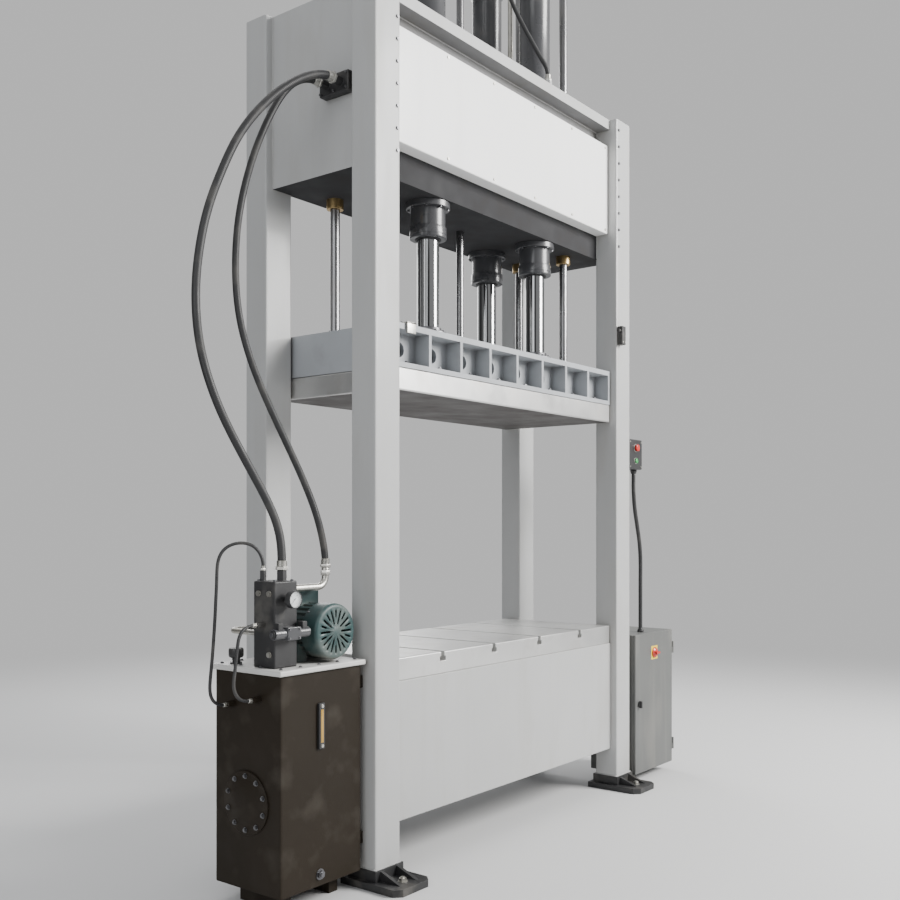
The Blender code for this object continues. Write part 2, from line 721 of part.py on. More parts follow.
def add_foot(row, side):
    """Make the black foot under one post, with its toe, pad, gussets and anchor holes."""
    name = f"foot_{row}_{side}"
    toe = POST_DEPTH / 2 + FOOT_TOE
    heel = POST_DEPTH / 2 + FOOT_HEEL
    half = FOOT_WIDTH / 2
    out = ROWS[row]
    outline = mirrored([(half, -heel * out), (half, (toe - FOOT_CHAMFER) * out), (half - FOOT_CHAMFER, toe * out)])
    foot = add_prism(name, outline, FOOT_PLATE_THICKNESS, BLACK_PAINT,
                     turn=Matrix.Translation((0.0, 0.0, FOOT_PLATE_THICKNESS / 2)))
    place = Vector((SIDES[side] * POST_X, out * POST_Y, 0.0))
    foot.location = place
    pad_x = POST_WIDTH / 2 + FOOT_PAD_MARGIN
    pad_y = POST_DEPTH / 2 + FOOT_PAD_MARGIN
    sunk = FOOT_PLATE_THICKNESS - WELD_OVERLAP
    pad = add_boxes(name + "_pad", [((-pad_x, -pad_y, sunk), (pad_x, pad_y, FOOT_TOP))], BLACK_PAINT, CUTTERS)
    pad.location = place
    join(foot, pad)
    start = pad_y - WELD_OVERLAP
    end = toe - FOOT_CHAMFER
    web = [(start * out, sunk), (end * out, sunk), (start * out, sunk + FOOT_PAD_HEIGHT - WELD_OVERLAP)]
    stand = Matrix(((0, 0, 1, 0), (1, 0, 0, 0), (0, 1, 0, 0), (0, 0, 0, 1)))
    for number, offset in enumerate((-GUSSET_SPACING / 2, GUSSET_SPACING / 2)):
        gusset = add_prism(f"{name}_gusset_{number}", web, GUSSET_THICKNESS, BLACK_PAINT, CUTTERS,
                           turn=Matrix.Translation((offset, 0.0, 0.0)) @ stand)
        gusset.location = place
        join(foot, gusset)
    hole_y = out * (pad_y + toe) / 2
    holes = add_rods(name + "_holes", [(0.0, hole_y, 0.0)], ANCHOR_HOLE_RADIUS, -OVERRUN,
                     FOOT_PLATE_THICKNESS + OVERRUN)
    holes.location = place
    cut(foot, holes)
    return foot


def add_bed():
    """Make the bed, a welded box that is open below, with ribs between its cells."""
    half_front = HALF_DEPTH - BED_FRONT_RECESS
    bed = add_prism("bed_beam", cross_outline(half_front, HALF_WIDTH - CROWN_END_RECESS), BED_HEIGHT,
                    FRAME_PAINT)
    bed.location = (0.0, 0.0, BED_UNDERSIDE + BED_HEIGHT / 2)
    span_x = (INNER_X - FIT_GAP) * 2
    span_y = half_front * 2
    cell_x = (span_x - BED_WALL * (BED_CELLS_ACROSS + 1)) / BED_CELLS_ACROSS
    cell_y = (span_y - BED_WALL * (BED_CELLS_DEEP + 1)) / BED_CELLS_DEEP
    cells = []
    for column in range(BED_CELLS_ACROSS):
        low_x = -span_x / 2 + BED_WALL + column * (cell_x + BED_WALL)
        for line in range(BED_CELLS_DEEP):
            low_y = -span_y / 2 + BED_WALL + line * (cell_y + BED_WALL)
            cells.append(((low_x, low_y, BED_UNDERSIDE - OVERRUN),
                          (low_x + cell_x, low_y + cell_y, BED_TOP - BED_TOP_THICKNESS)))
    return cut(bed, add_boxes("bed_cells", cells, FRAME_PAINT, CUTTERS))


def add_bolster():
    """Make the bolster plate with its T-slots, which run from front to back."""
    half_y = HALF_DEPTH - BED_FRONT_RECESS
    base = BED_TOP + FIT_GAP
    top = base + BOLSTER_THICKNESS
    plate = add_block("bolster_plate", (-PLATEN_HALF_X, -half_y, base), (PLATEN_HALF_X, half_y, top), GROUND_STEEL)
    add_bevel(plate, BOLSTER_CHAMFER)
    neck = SLOT_NECK_WIDTH / 2
    head = SLOT_HEAD_WIDTH / 2
    shoulder = -SLOT_NECK_DEPTH
    floor = shoulder - SLOT_HEAD_DEPTH
    outline = mirrored([(head, floor), (head, shoulder), (neck, shoulder), (neck, OVERRUN)])
    stand = Matrix.Rotation(math.pi / 2, 4, "X")
    for number in range(SLOT_COUNT):
        slot = add_prism(f"slot_{number}", outline, (half_y + OVERRUN) * 2, GROUND_STEEL, CUTTERS, turn=stand)
        slot.location = ((number - (SLOT_COUNT - 1) / 2) * SLOT_SPACING, 0.0, top)
        cut(plate, slot)
    return plate


def grid_places(span_x, span_y):
    """Return the four places of a two by two pattern, by row and side."""
    return {(row, side): (SIDES[side] * span_x / 2, ROWS[row] * span_y / 2) for row in ROWS for side in SIDES}


CYLINDER_PLACES = grid_places(CYLINDER_SPAN_X, CYLINDER_SPAN_Y)
GUIDE_PLACES = grid_places(GUIDE_SPAN_X, GUIDE_SPAN_Y)


def add_crown():
    """Make the crown, a ribbed welded box with a top flange, bored for cylinders and guide bushes."""
    flange_half = HALF_DEPTH - CROWN_FLANGE_RECESS
    body_half = CROWN_BODY_DEPTH / 2
    crown = add_prism("crown_beam", cross_outline(flange_half, HALF_WIDTH - CROWN_END_RECESS), CROWN_HEIGHT,
                      CROWN_PAINT)
    crown.location = (0.0, 0.0, CROWN_UNDERSIDE + CROWN_HEIGHT / 2)
    flange_low = FRAME_HEIGHT - CROWN_TOP_THICKNESS
    recesses = []
    for out in ROWS.values():
        near, far = sorted((out * body_half, out * (HALF_DEPTH + OVERRUN)))
        recesses.append(((-INNER_X - OVERRUN / 2, near, CROWN_UNDERSIDE - OVERRUN),
                         (INNER_X + OVERRUN / 2, far, flange_low)))
    cut(crown, add_boxes("crown_recesses", recesses, CROWN_PAINT, CUTTERS))
    low = CROWN_UNDERSIDE - OVERRUN
    high = FRAME_HEIGHT + OVERRUN
    cylinders = [(x, y, 0.0) for x, y in CYLINDER_PLACES.values()]
    guides = [(x, y, 0.0) for x, y in GUIDE_PLACES.values()]
    cut(crown, add_rods("crown_cylinder_bores", cylinders, BARREL_RADIUS + FIT_GAP, low, high, FINE_STEPS))
    cut(crown, add_rods("crown_guide_bores", guides, BUSH_RADIUS + FIT_GAP, low, high))
    cut(crown, add_rods("crown_centre_bore", [(0.0, 0.0, 0.0)], CENTRE_ROD_RADIUS + FIT_GAP, low, high))
    inner_end = INNER_X - CROWN_WALL
    middle = (CYLINDER_SPAN_X / 2 - BARREL_RADIUS) / 2
    outer = (CYLINDER_SPAN_X / 2 + GUIDE_SPAN_X / 2) / 2
    stops = [-inner_end, -outer, -middle, middle, outer, inner_end]
    inside = body_half - CROWN_WALL
    cells = []
    for first, second in zip(stops, stops[1:]):
        cells.append(((first + CROWN_RIB / 2, -inside, CROWN_UNDERSIDE + CROWN_BOTTOM_THICKNESS),
                      (second - CROWN_RIB / 2, inside, flange_low)))
    cut(crown, add_boxes("crown_cells", cells, CROWN_PAINT, CUTTERS))
    fitting = add_turned("jumper_fitting", collar_profile(PORT_RADIUS, -WELD_OVERLAP, PORT_LENGTH), ZINC, steps=6,
                         group=CUTTERS)
    fitting.location = (JUMPER_FOOT_X, JUMPER_FOOT_Y, FRAME_HEIGHT)
    return join(crown, fitting)


def add_cover():
    """Make the white front cover of the crown, a folded tray that is open behind."""
    half_x = INNER_X - COVER_SIDE_GAP
    front = -HALF_DEPTH + COVER_RECESS
    back = -CROWN_BODY_DEPTH / 2 - FIT_GAP
    low = CROWN_UNDERSIDE + COVER_RISE
    depth = back - front
    mesh = bpy.data.meshes.new("crown_cover")
    shape = bmesh.new()
    bmesh.ops.create_cube(shape, size=1.0, matrix=Matrix.Diagonal((half_x * 2, depth, COVER_HEIGHT, 1.0)))
    behind = [face for face in shape.faces if face.normal.y > 0.5]
    bmesh.ops.delete(shape, geom=behind, context="FACES_ONLY")
    rim = [edge for edge in shape.edges if not edge.is_boundary]
    bmesh.ops.bevel(shape, geom=rim, offset=COVER_CORNER_RADIUS, segments=CORNER_SEGMENTS, profile=0.5,
                    affect="EDGES")
    shape.to_mesh(mesh)
    shape.free()
    cover = add_object("crown_cover", mesh, COVER_PAINT)
    cover.location = (0.0, front + depth / 2, low + COVER_HEIGHT / 2)
    wall = cover.modifiers.new("sheet", "SOLIDIFY")
    wall.thickness = COVER_SHEET
    wall.offset = -1.0
    return cover


def add_cylinder(row, side):
    """Make one cylinder barrel with its gland, mounting ring, lock ring and closed head."""
    x, y = CYLINDER_PLACES[row, side]
    ring_top = CROWN_UNDERSIDE - FIT_GAP
    ring_low = ring_top - MOUNT_RING_THICKNESS
    lock_low = FRAME_HEIGHT + FIT_GAP
    lock_top = lock_low + LOCK_RING_THICKNESS
    band_low = BARREL_TOP - HEAD_BAND_LENGTH
    collar_top = BARREL_END + GLAND_COLLAR_LENGTH
    profile = [
        (0.0, BARREL_TOP), (HEAD_BAND_RADIUS - TURNED_CHAMFER, BARREL_TOP),
        (HEAD_BAND_RADIUS, BARREL_TOP - TURNED_CHAMFER), (HEAD_BAND_RADIUS, band_low), (BARREL_RADIUS, band_low),
        (BARREL_RADIUS, lock_top), (LOCK_RING_RADIUS, lock_top), (LOCK_RING_RADIUS, lock_low),
        (BARREL_RADIUS, lock_low), (BARREL_RADIUS, ring_top), (MOUNT_RING_RADIUS, ring_top),
        (MOUNT_RING_RADIUS, ring_low), (BARREL_RADIUS, ring_low), (BARREL_RADIUS, collar_top),
        (GLAND_RADIUS, collar_top), (GLAND_RADIUS, BARREL_END + TURNED_CHAMFER),
        (GLAND_RADIUS - TURNED_CHAMFER, BARREL_END), (RAM_RADIUS + PISTON_CLEARANCE, BARREL_END),
        (RAM_RADIUS + PISTON_CLEARANCE, GLAND_TOP), (BORE_RADIUS, GLAND_TOP), (BORE_RADIUS, BORE_TOP), (0.0, BORE_TOP),
    ]
    barrel = smooth_shade(add_turned(f"cylinder_{row}_{side}", profile, BARREL_PAINT))
    barrel.location = (x, y, 0.0)
    if (row, side) == ("front", "right"):
        port = add_turned("jumper_port", collar_profile(PORT_RADIUS, -PORT_RADIUS / 4, PORT_LENGTH), ZINC, steps=6,
                          group=CUTTERS, axis="-X")
        port.location = (x - BARREL_RADIUS, y, JUMPER_HEAD_Z)
        join(barrel, port)
    return barrel


def add_ram(row, side):
    """Make one ram: its flange on the platen, its chromed rod and its piston."""
    x, y = CYLINDER_PLACES[row, side]
    base = PLATEN_TOP + FIT_GAP
    flange_top = base + RAM_FLANGE_THICKNESS
    neck_top = flange_top + RAM_NECK_LENGTH
    piston_radius = BORE_RADIUS - PISTON_CLEARANCE
    profile = [
        (0.0, PISTON_TOP), (piston_radius, PISTON_TOP), (piston_radius, PISTON_BASE), (RAM_RADIUS, PISTON_BASE),
        (RAM_RADIUS, neck_top), (RAM_NECK_RADIUS, flange_top), (RAM_FLANGE_RADIUS - TURNED_CHAMFER, flange_top),
        (RAM_FLANGE_RADIUS, flange_top - TURNED_CHAMFER), (RAM_FLANGE_RADIUS, base), (0.0, base),
    ]
    ram = smooth_shade(add_turned(f"ram_{row}_{side}", profile, CHROME))
    ram.location = (x, y, 0.0)
    return ram


def add_guide_bush(row, side):
    """Make one flanged guide bush, a long sleeve through the crown."""
    x, y = GUIDE_PLACES[row, side]
    low = CROWN_UNDERSIDE - BUSH_NOSE
    seat = FRAME_HEIGHT + FIT_GAP
    top = seat + BUSH_FLANGE_THICKNESS
    bore = GUIDE_RADIUS + FIT_GAP
    profile = [
        (BUSH_FLANGE_RADIUS, top), (BUSH_FLANGE_RADIUS, seat), (BUSH_RADIUS, seat),
        (BUSH_RADIUS, low + TURNED_CHAMFER), (BUSH_RADIUS - TURNED_CHAMFER, low), (bore, low), (bore, top),
    ]
    bush = smooth_shade(add_turned(f"guide_bush_{row}_{side}", profile, BRONZE, ring=True, steps=COARSE_STEPS))
    bush.location = (x, y, 0.0)
    return bush


def add_collared_rod(name, x, y, radius, top, collar_radius):
    """Make a rod that stands on the platen by its collar and is spigoted through the top skin."""
    base = PLATEN_TOP + FIT_GAP
    collar_top = base + GUIDE_COLLAR_THICKNESS
    spigot = PLATEN_TOP - PLATEN_TOP_SKIN
    chamfer = TURNED_CHAMFER
    profile = [
        (0.0, top), (radius - chamfer, top), (radius, top - chamfer), (radius, collar_top),
        (collar_radius - chamfer, collar_top), (collar_radius, collar_top - chamfer), (collar_radius, base),
        (radius, base), (radius, spigot), (0.0, spigot),
    ]
    rod = smooth_shade(add_turned(name, profile, GROUND_STEEL, steps=COARSE_STEPS))
    rod.location = (x, y, 0.0)
    return rod


def add_platen():
    """Make the platen beam: two skins, webs with open bays between ribs, and lightening holes."""
    half_y = PLATEN_DEPTH / 2
    beam = add_block("platen_beam", (-PLATEN_HALF_X, -half_y, PLATEN_BASE), (PLATEN_HALF_X, half_y, PLATEN_TOP),
                     PLATEN_PAINT)
    bay = (PLATEN_HALF_X * 2 - PLATEN_RIB * (PLATEN_BAYS + 1)) / PLATEN_BAYS
    low_z = PLATEN_BASE + PLATEN_BOTTOM_SKIN
    high_z = PLATEN_TOP - PLATEN_TOP_SKIN
    web = half_y - PLATEN_POCKET_DEPTH
    inside = web - PLATEN_WEB
    bays = []
    cells = []
    holes = []
    for number in range(PLATEN_BAYS):
        low_x = -PLATEN_HALF_X + PLATEN_RIB + number * (bay + PLATEN_RIB)
        high_x = low_x + bay
        bays.append(((low_x, -half_y - OVERRUN, low_z), (high_x, -web, high_z)))
        bays.append(((low_x, web, low_z), (high_x, half_y + OVERRUN, high_z)))
        cells.append(((low_x, -inside, low_z), (high_x, inside, high_z)))
        holes.append(((low_x + high_x) / 2, 0.0, (low_z + high_z) / 2))
    rods = [(x, y, 0.0) for x, y in GUIDE_PLACES.values()] + [(0.0, 0.0, 0.0)]
    cut(beam, add_boxes("platen_bays", bays, PLATEN_PAINT, CUTTERS))
    cut(beam, add_rods("platen_lightening", holes, LIGHTENING_RADIUS, -web - OVERRUN, web + OVERRUN, axis="Y"))
    cut(beam, add_boxes("platen_cells", cells, PLATEN_PAINT, CUTTERS))
    cut(beam, add_rods("platen_spigot_holes", rods[:-1], GUIDE_RADIUS + FIT_GAP, high_z - PLATEN_TOP_SKIN / 2,
                       PLATEN_TOP + OVERRUN))
    return cut(beam, add_rods("platen_centre_hole", rods[-1:], CENTRE_ROD_RADIUS + FIT_GAP,
                              high_z - PLATEN_TOP_SKIN / 2, PLATEN_TOP + OVERRUN))


def add_die_plate():
    """Make the thick pale plate under the platen."""
    half_y = PLATEN_DEPTH / 2
    top = PLATEN_UNDERSIDE + DIE_PLATE_THICKNESS
    plate = add_block("die_plate", (-PLATEN_HALF_X, -half_y, PLATEN_UNDERSIDE), (PLATEN_HALF_X, half_y, top),
                      GROUND_STEEL)
    return add_bevel(plate, DIE_PLATE_CHAMFER)


def collar_profile(radius, low, high):
    """Return the profile of a fitting's collar."""
    return rod_profile(radius, low, high)


def add_cap_pipe(side):
    """Make the rigid pipe that joins the heads of the front and rear cylinders to the crown."""
    name = f"cap_pipe_{side}"
    x = SIDES[side] * CYLINDER_SPAN_X / 2
    half_y = CYLINDER_SPAN_Y / 2
    base = BARREL_TOP + FIT_GAP
    top = base + PIPE_RISE
    bend = PIPE_CROWN_RADIUS
    arc = [(half_y - bend + bend * math.cos(turn), top - bend + bend * math.sin(turn))
           for turn in (math.radians(18 * step) for step in range(6))]
    half = [(half_y, base)] + arc
    path = [(x, y, z) for y, z in half] + [(x, -y, z) for y, z in reversed(half)]
    pipe = add_tube(name, path, PIPE_RADIUS, ZINC, as_mesh=True)
    for number, out in enumerate(ROWS.values()):
        collar = add_turned(f"{name}_collar_{number}", collar_profile(PIPE_COLLAR_RADIUS, 0.0, PIPE_COLLAR_LENGTH),
                            ZINC, steps=6, group=CUTTERS)
        collar.location = (x, out * half_y, base)
        join(pipe, collar)
    riser_low = FRAME_HEIGHT + FIT_GAP
    riser = add_turned(name + "_riser", [
        (0.0, top), (PIPE_RADIUS, top), (PIPE_RADIUS, riser_low + PIPE_COLLAR_LENGTH),
        (PIPE_COLLAR_RADIUS, riser_low + PIPE_COLLAR_LENGTH), (PIPE_COLLAR_RADIUS, riser_low), (0.0, riser_low),
    ], ZINC, steps=12, group=CUTTERS)
    riser.location = (x, 0.0, 0.0)
    return join(pipe, riser)


def add_port_block():
    """Make the block on the crown's left end that both main hoses screw into."""
    face = -HALF_WIDTH + CROWN_END_RECESS - FIT_GAP
    half_y = PORT_BLOCK_DEPTH / 2
    half_z = PORT_BLOCK_HEIGHT / 2
    block = add_block("hose_port_block", (face - PORT_BLOCK_THICKNESS, PORT_BLOCK_Y - half_y, PORT_BLOCK_Z - half_z),
                      (face, PORT_BLOCK_Y + half_y, PORT_BLOCK_Z + half_z), BLACK_PAINT)
    add_bevel(block, MANIFOLD_CHAMFER)
    for number, out in enumerate((-1, 1)):
        port = add_turned(f"hose_port_{number}", collar_profile(PORT_RADIUS, -WELD_OVERLAP * 2, PORT_LENGTH), ZINC,
                          steps=6, group=CUTTERS, axis="-X")
        port.location = (face - PORT_BLOCK_THICKNESS, PORT_BLOCK_Y + out * PORT_SPACING / 2, PORT_BLOCK_Z)
        join(block, port)
    return block


def add_tank():
    """Make the oil tank, an open-topped folded box on skids, with lugs to the posts and two hose ports."""
    size = Vector((TANK_RIGHT - TANK_LEFT, TANK_DEPTH, TANK_TOP - TANK_UNDERSIDE))
    centre = Vector((TANK_LEFT, TANK_FRONT, TANK_UNDERSIDE)) + size / 2
    mesh = bpy.data.meshes.new("oil_tank")
    shape = bmesh.new()
    bmesh.ops.create_cube(shape, size=1.0, matrix=Matrix.Diagonal((*size, 1.0)))
    above = [face for face in shape.faces if face.normal.z > 0.5]
    bmesh.ops.delete(shape, geom=above, context="FACES_ONLY")
    upright = [edge for edge in shape.edges if abs(edge.verts[0].co.z - edge.verts[1].co.z) > size.z / 2]
    bmesh.ops.bevel(shape, geom=upright, offset=TANK_CORNER_RADIUS, segments=CORNER_SEGMENTS, profile=0.5,
                    affect="EDGES")
    shape.to_mesh(mesh)
    shape.free()
    tank = add_object("oil_tank", mesh, TANK_PAINT)
    tank.location = centre
    wall = tank.modifiers.new("sheet", "SOLIDIFY")
    wall.thickness = TANK_SHEET
    wall.offset = -1.0
    extras = []
    for x in (TANK_LEFT + TANK_SKID_INSET, TANK_RIGHT - TANK_SKID_INSET - TANK_SKID_WIDTH):
        extras.append(((x, TANK_FRONT + TANK_SKID_INSET, 0.0),
                       (x + TANK_SKID_WIDTH, TANK_BACK - TANK_SKID_INSET, TANK_UNDERSIDE + WELD_OVERLAP)))
    lug_top = TANK_TOP - TANK_LUG_HEIGHT
    lug_y = TANK_FRONT + TANK_LUG_INSET
    for low in (TANK_UNDERSIDE + TANK_LUG_LIFT, lug_top - TANK_LUG_HEIGHT):
        extras.append(((TANK_RIGHT - WELD_OVERLAP, lug_y, low),
                       (-HALF_WIDTH - FIT_GAP, lug_y + TANK_LUG_DEPTH, low + TANK_LUG_HEIGHT)))
    join(tank, add_boxes("tank_skids_and_lugs", extras, TANK_PAINT, CUTTERS))
    for number, (y, z) in enumerate(TANK_PORTS):
        port = add_turned(f"tank_port_{number}", collar_profile(TANK_PORT_RADIUS, -WELD_OVERLAP, TANK_PORT_LENGTH),
                          ZINC, steps=6, group=CUTTERS, axis="-X")
        port.location = (TANK_LEFT, y, z)
        join(tank, port)
    return tank


def add_lid():
    """Make the pale lid plate that carries the motor, pump and valves."""
    lid = add_block("tank_lid", (TANK_LEFT - LID_OVERHANG, TANK_FRONT - LID_OVERHANG, TANK_TOP + FIT_GAP),
                    (TANK_RIGHT + LID_OVERHANG, TANK_BACK + LID_OVERHANG, LID_TOP), LID_PAINT)
    return add_bevel(lid, LID_CHAMFER)


def add_motor():
    """Make the electric motor: finned frame, end bell, feet and terminal box."""
    outline = []
    for fin in range(MOTOR_FINS):
        for share, radius in ((0.0, MOTOR_ROOT_RADIUS), (0.45, MOTOR_ROOT_RADIUS), (0.55, MOTOR_TIP_RADIUS),
                              (0.9, MOTOR_TIP_RADIUS)):
            turn = 2 * math.pi * (fin + share + 0.25) / MOTOR_FINS
            outline.append((radius * math.cos(turn), radius * math.sin(turn)))
    stand = Matrix.Rotation(math.pi / 2, 4, "X")
    motor = add_prism("motor", outline, MOTOR_LENGTH, MOTOR_PAINT, turn=stand)
    middle = Vector((MOTOR_X, MOTOR_FRONT_Y + MOTOR_LENGTH / 2, MOTOR_Z))
    motor.location = middle
    bell = add_turned("motor_bell", rod_profile(MOTOR_BELL_RADIUS, -WELD_OVERLAP, MOTOR_BELL_LENGTH, TURNED_CHAMFER / 4),
                      MOTOR_PAINT, group=CUTTERS, axis="Y")
    bell.location = (MOTOR_X, MOTOR_BACK_Y, MOTOR_Z)
    join(motor, bell)
    base = LID_TOP + FIT_GAP
    foot_top = MOTOR_Z - MOTOR_ROOT_RADIUS / 2
    inset = MOTOR_LENGTH / 5
    extras = []
    for out in SIDES.values():
        x = MOTOR_X + out * MOTOR_FOOT_SPREAD
        extras.append(((x - MOTOR_FOOT_WIDTH / 2, MOTOR_FRONT_Y + inset, base),
                       (x + MOTOR_FOOT_WIDTH / 2, MOTOR_BACK_Y - inset, foot_top)))
    join(motor, add_boxes("motor_feet", extras, MOTOR_PAINT, CUTTERS))
    box_low = MOTOR_Z + MOTOR_ROOT_RADIUS * TERMINAL_SEAT_SHARE
    box_back = MOTOR_BACK_Y - WELD_OVERLAP * 5
    terminal = [((MOTOR_X - TERMINAL_WIDTH / 2, box_back - TERMINAL_LENGTH, box_low),
                 (MOTOR_X + TERMINAL_WIDTH / 2, box_back, MOTOR_Z + MOTOR_TIP_RADIUS + TERMINAL_HEIGHT))]
    join(motor, add_boxes("motor_terminal_box", terminal, MOTOR_PAINT, CUTTERS))
    shaft_hole = add_rods("motor_shaft_hole", [(MOTOR_X, MOTOR_FRONT_Y, MOTOR_Z)], clear_radius(SHAFT_RADIUS),
                          -OVERRUN, SHAFT_SEAT + FIT_GAP, axis="Y")
    return cut(motor, shaft_hole)


def add_fan_cover():
    """Make the slotted cup over the motor's cooling fan."""
    inner = clear_radius(MOTOR_TIP_RADIUS, FINE_STEPS)
    outer = inner + FAN_COVER_SHEET
    sheet = FAN_COVER_SHEET
    length = FAN_COVER_LENGTH
    round_off = FAN_COVER_ROUND
    profile = [
        (0.0, length), (outer - round_off, length), (outer, length - round_off), (outer, -FAN_COVER_LAP),
        (inner, -FAN_COVER_LAP), (inner, length - round_off - sheet / 2), (inner - round_off, length - sheet),
        (0.0, length - sheet),
    ]
    cover = smooth_shade(add_turned("fan_cover", profile, MOTOR_PAINT, axis="-Y"))
    cover.location = (MOTOR_X, MOTOR_FRONT_Y, MOTOR_Z)
    shape = bmesh.new()
    reach = FAN_SLOT_OUTER - FAN_SLOT_INNER
    for number in range(FAN_SLOTS):
        turn = Matrix.Rotation(2 * math.pi * number / FAN_SLOTS, 4, "Y")
        place = Matrix.Translation(((FAN_SLOT_INNER + FAN_SLOT_OUTER) / 2, -length, 0.0))
        size = Matrix.Diagonal((reach, OVERRUN, FAN_SLOT_WIDTH, 1.0))
        bmesh.ops.create_cube(shape, size=1.0, matrix=turn @ place @ size)
    mesh = bpy.data.meshes.new("fan_cover_slots")
    shape.to_mesh(mesh)
    shape.free()
    slots = hide_cutter(add_object("fan_cover_slots", mesh, ZINC, CUTTERS))
    slots.location = cover.location
    return cut(cover, slots)


def add_rotor():
    """Make the motor's turning piece that shows: the shaft end and its paddle fan."""
    outline = []
    half = FAN_BLADE_THICKNESS / 2
    for blade in range(FAN_BLADES):
        turn = 2 * math.pi * blade / FAN_BLADES
        for along, across in ((FAN_HUB_RADIUS, -half), (FAN_RADIUS, -half), (FAN_RADIUS, half),
                              (FAN_HUB_RADIUS, half)):
            outline.append((along * math.cos(turn) - across * math.sin(turn),
                            along * math.sin(turn) + across * math.cos(turn)))
    rotor = add_prism("motor_rotor", outline, FAN_WIDTH, BLACK_PLASTIC, turn=Matrix.Rotation(math.pi / 2, 4, "X"))
    fan_y = MOTOR_FRONT_Y - FAN_INSET - FAN_WIDTH / 2
    rotor.location = (MOTOR_X, fan_y, MOTOR_Z)
    shaft = add_turned("rotor_shaft", rod_profile(SHAFT_RADIUS, -FAN_WIDTH / 2 - SHAFT_RADIUS / 2,
                                                  MOTOR_FRONT_Y - fan_y + SHAFT_SEAT),
                       ZINC, steps=COARSE_STEPS, group=CUTTERS, axis="Y")
    shaft.location = rotor.location
    return join(rotor, shaft)


def add_pump():
    """Make the pump with its bell housing, on the motor's back end."""
    step = PUMP_BELL_LENGTH
    end = step + PUMP_BODY_LENGTH
    profile = [
        (0.0, end), (PUMP_BODY_RADIUS - TURNED_CHAMFER, end), (PUMP_BODY_RADIUS, end - TURNED_CHAMFER),
        (PUMP_BODY_RADIUS, step), (PUMP_BELL_NECK, step), (PUMP_BELL_NECK, step / 3), (PUMP_BELL_RADIUS, step / 4),
        (PUMP_BELL_RADIUS, 0.0), (0.0, 0.0),
    ]
    pump = smooth_shade(add_turned("pump", profile, BARREL_PAINT, axis="Y"))
    pump.location = (MOTOR_X, MOTOR_BACK_Y + MOTOR_BELL_LENGTH + FIT_GAP, MOTOR_Z)
    return pump


def add_manifold():
    """Make the valve manifold block with its hose ports."""
    half_x = MANIFOLD_WIDTH / 2
    half_y = MANIFOLD_DEPTH / 2
    block = add_block("valve_manifold", (MANIFOLD_X - half_x, MANIFOLD_Y - half_y, MANIFOLD_BASE),
                      (MANIFOLD_X + half_x, MANIFOLD_Y + half_y, MANIFOLD_TOP), BLACK_PAINT)
    add_bevel(block, MANIFOLD_CHAMFER)
    ports = [
        ("main", (MANIFOLD_X + MANIFOLD_PORT_SHIFT, MANIFOLD_Y, MANIFOLD_TOP), PORT_RADIUS, "Z"),
        ("pilot_top", (MANIFOLD_X - MANIFOLD_PORT_SHIFT, MANIFOLD_Y + MANIFOLD_PORT_SHIFT, MANIFOLD_TOP),
         SMALL_PORT_RADIUS, "Z"),
        ("pilot_side", (MANIFOLD_X - half_x, MANIFOLD_Y, PILOT_SIDE_Z), SMALL_PORT_RADIUS, "-X"),
    ]
    for label, place, radius, axis in ports:
        port = add_turned(f"manifold_port_{label}", collar_profile(radius, -WELD_OVERLAP * 2, PORT_LENGTH), ZINC,
                          steps=6, group=CUTTERS, axis=axis)
        port.location = place
        join(block, port)
    return block


def add_valve():
    """Make the solenoid valve on the manifold's front, with a coil at each end."""
    front = MANIFOLD_Y - MANIFOLD_DEPTH / 2 - FIT_GAP
    z = MANIFOLD_BASE + VALVE_RISE
    half_x = VALVE_WIDTH / 2
    half_z = VALVE_HEIGHT / 2
    valve = add_block("solenoid_valve", (MANIFOLD_X - half_x, front - VALVE_DEPTH, z - half_z),
                      (MANIFOLD_X + half_x, front, z + half_z), BARREL_PAINT)
    add_bevel(valve, TURNED_CHAMFER / 2)
    tip = half_x + COIL_LENGTH
    profile = [
        (0.0, tip + COIL_TIP_LENGTH), (COIL_TIP_RADIUS, tip + COIL_TIP_LENGTH), (COIL_TIP_RADIUS, tip),
        (COIL_RADIUS, tip), (COIL_RADIUS, half_x - WELD_OVERLAP), (0.0, half_x - WELD_OVERLAP),
    ]
    for label, axis in (("left", "-X"), ("right", "X")):
        coil = add_turned(f"valve_coil_{label}", profile, BLACK_PLASTIC, steps=COARSE_STEPS, group=CUTTERS, axis=axis)
        coil.location = (MANIFOLD_X, front - VALVE_DEPTH / 2, z)
        join(valve, coil)
    return valve


def add_gauge():
    """Make the pressure gauge on its stem, with a shallow dish for the dial."""
    stem = GAUGE_STEM_LENGTH
    rim = stem + GAUGE_DEPTH
    dial = rim - GAUGE_DEPTH / 3
    profile = [
        (0.0, dial), (GAUGE_RADIUS - GAUGE_RIM, dial), (GAUGE_RADIUS - GAUGE_RIM, rim), (GAUGE_RADIUS, rim),
        (GAUGE_RADIUS, stem), (GAUGE_STEM_RADIUS, stem), (GAUGE_STEM_RADIUS, 0.0), (0.0, 0.0),
    ]
    gauge = smooth_shade(add_turned("pressure_gauge", profile, DIAL_WHITE, axis="-Y"))
    gauge.location = (MANIFOLD_X, GAUGE_BACK, GAUGE_Z)
    hole = add_rods("gauge_pin_hole", [(MANIFOLD_X, GAUGE_BACK - dial, GAUGE_Z)], clear_radius(NEEDLE_PIN_RADIUS),
                    -OVERRUN, NEEDLE_PIN_LENGTH - NEEDLE_LIFT, steps=COARSE_STEPS, axis="Y")
    return cut(gauge, hole)


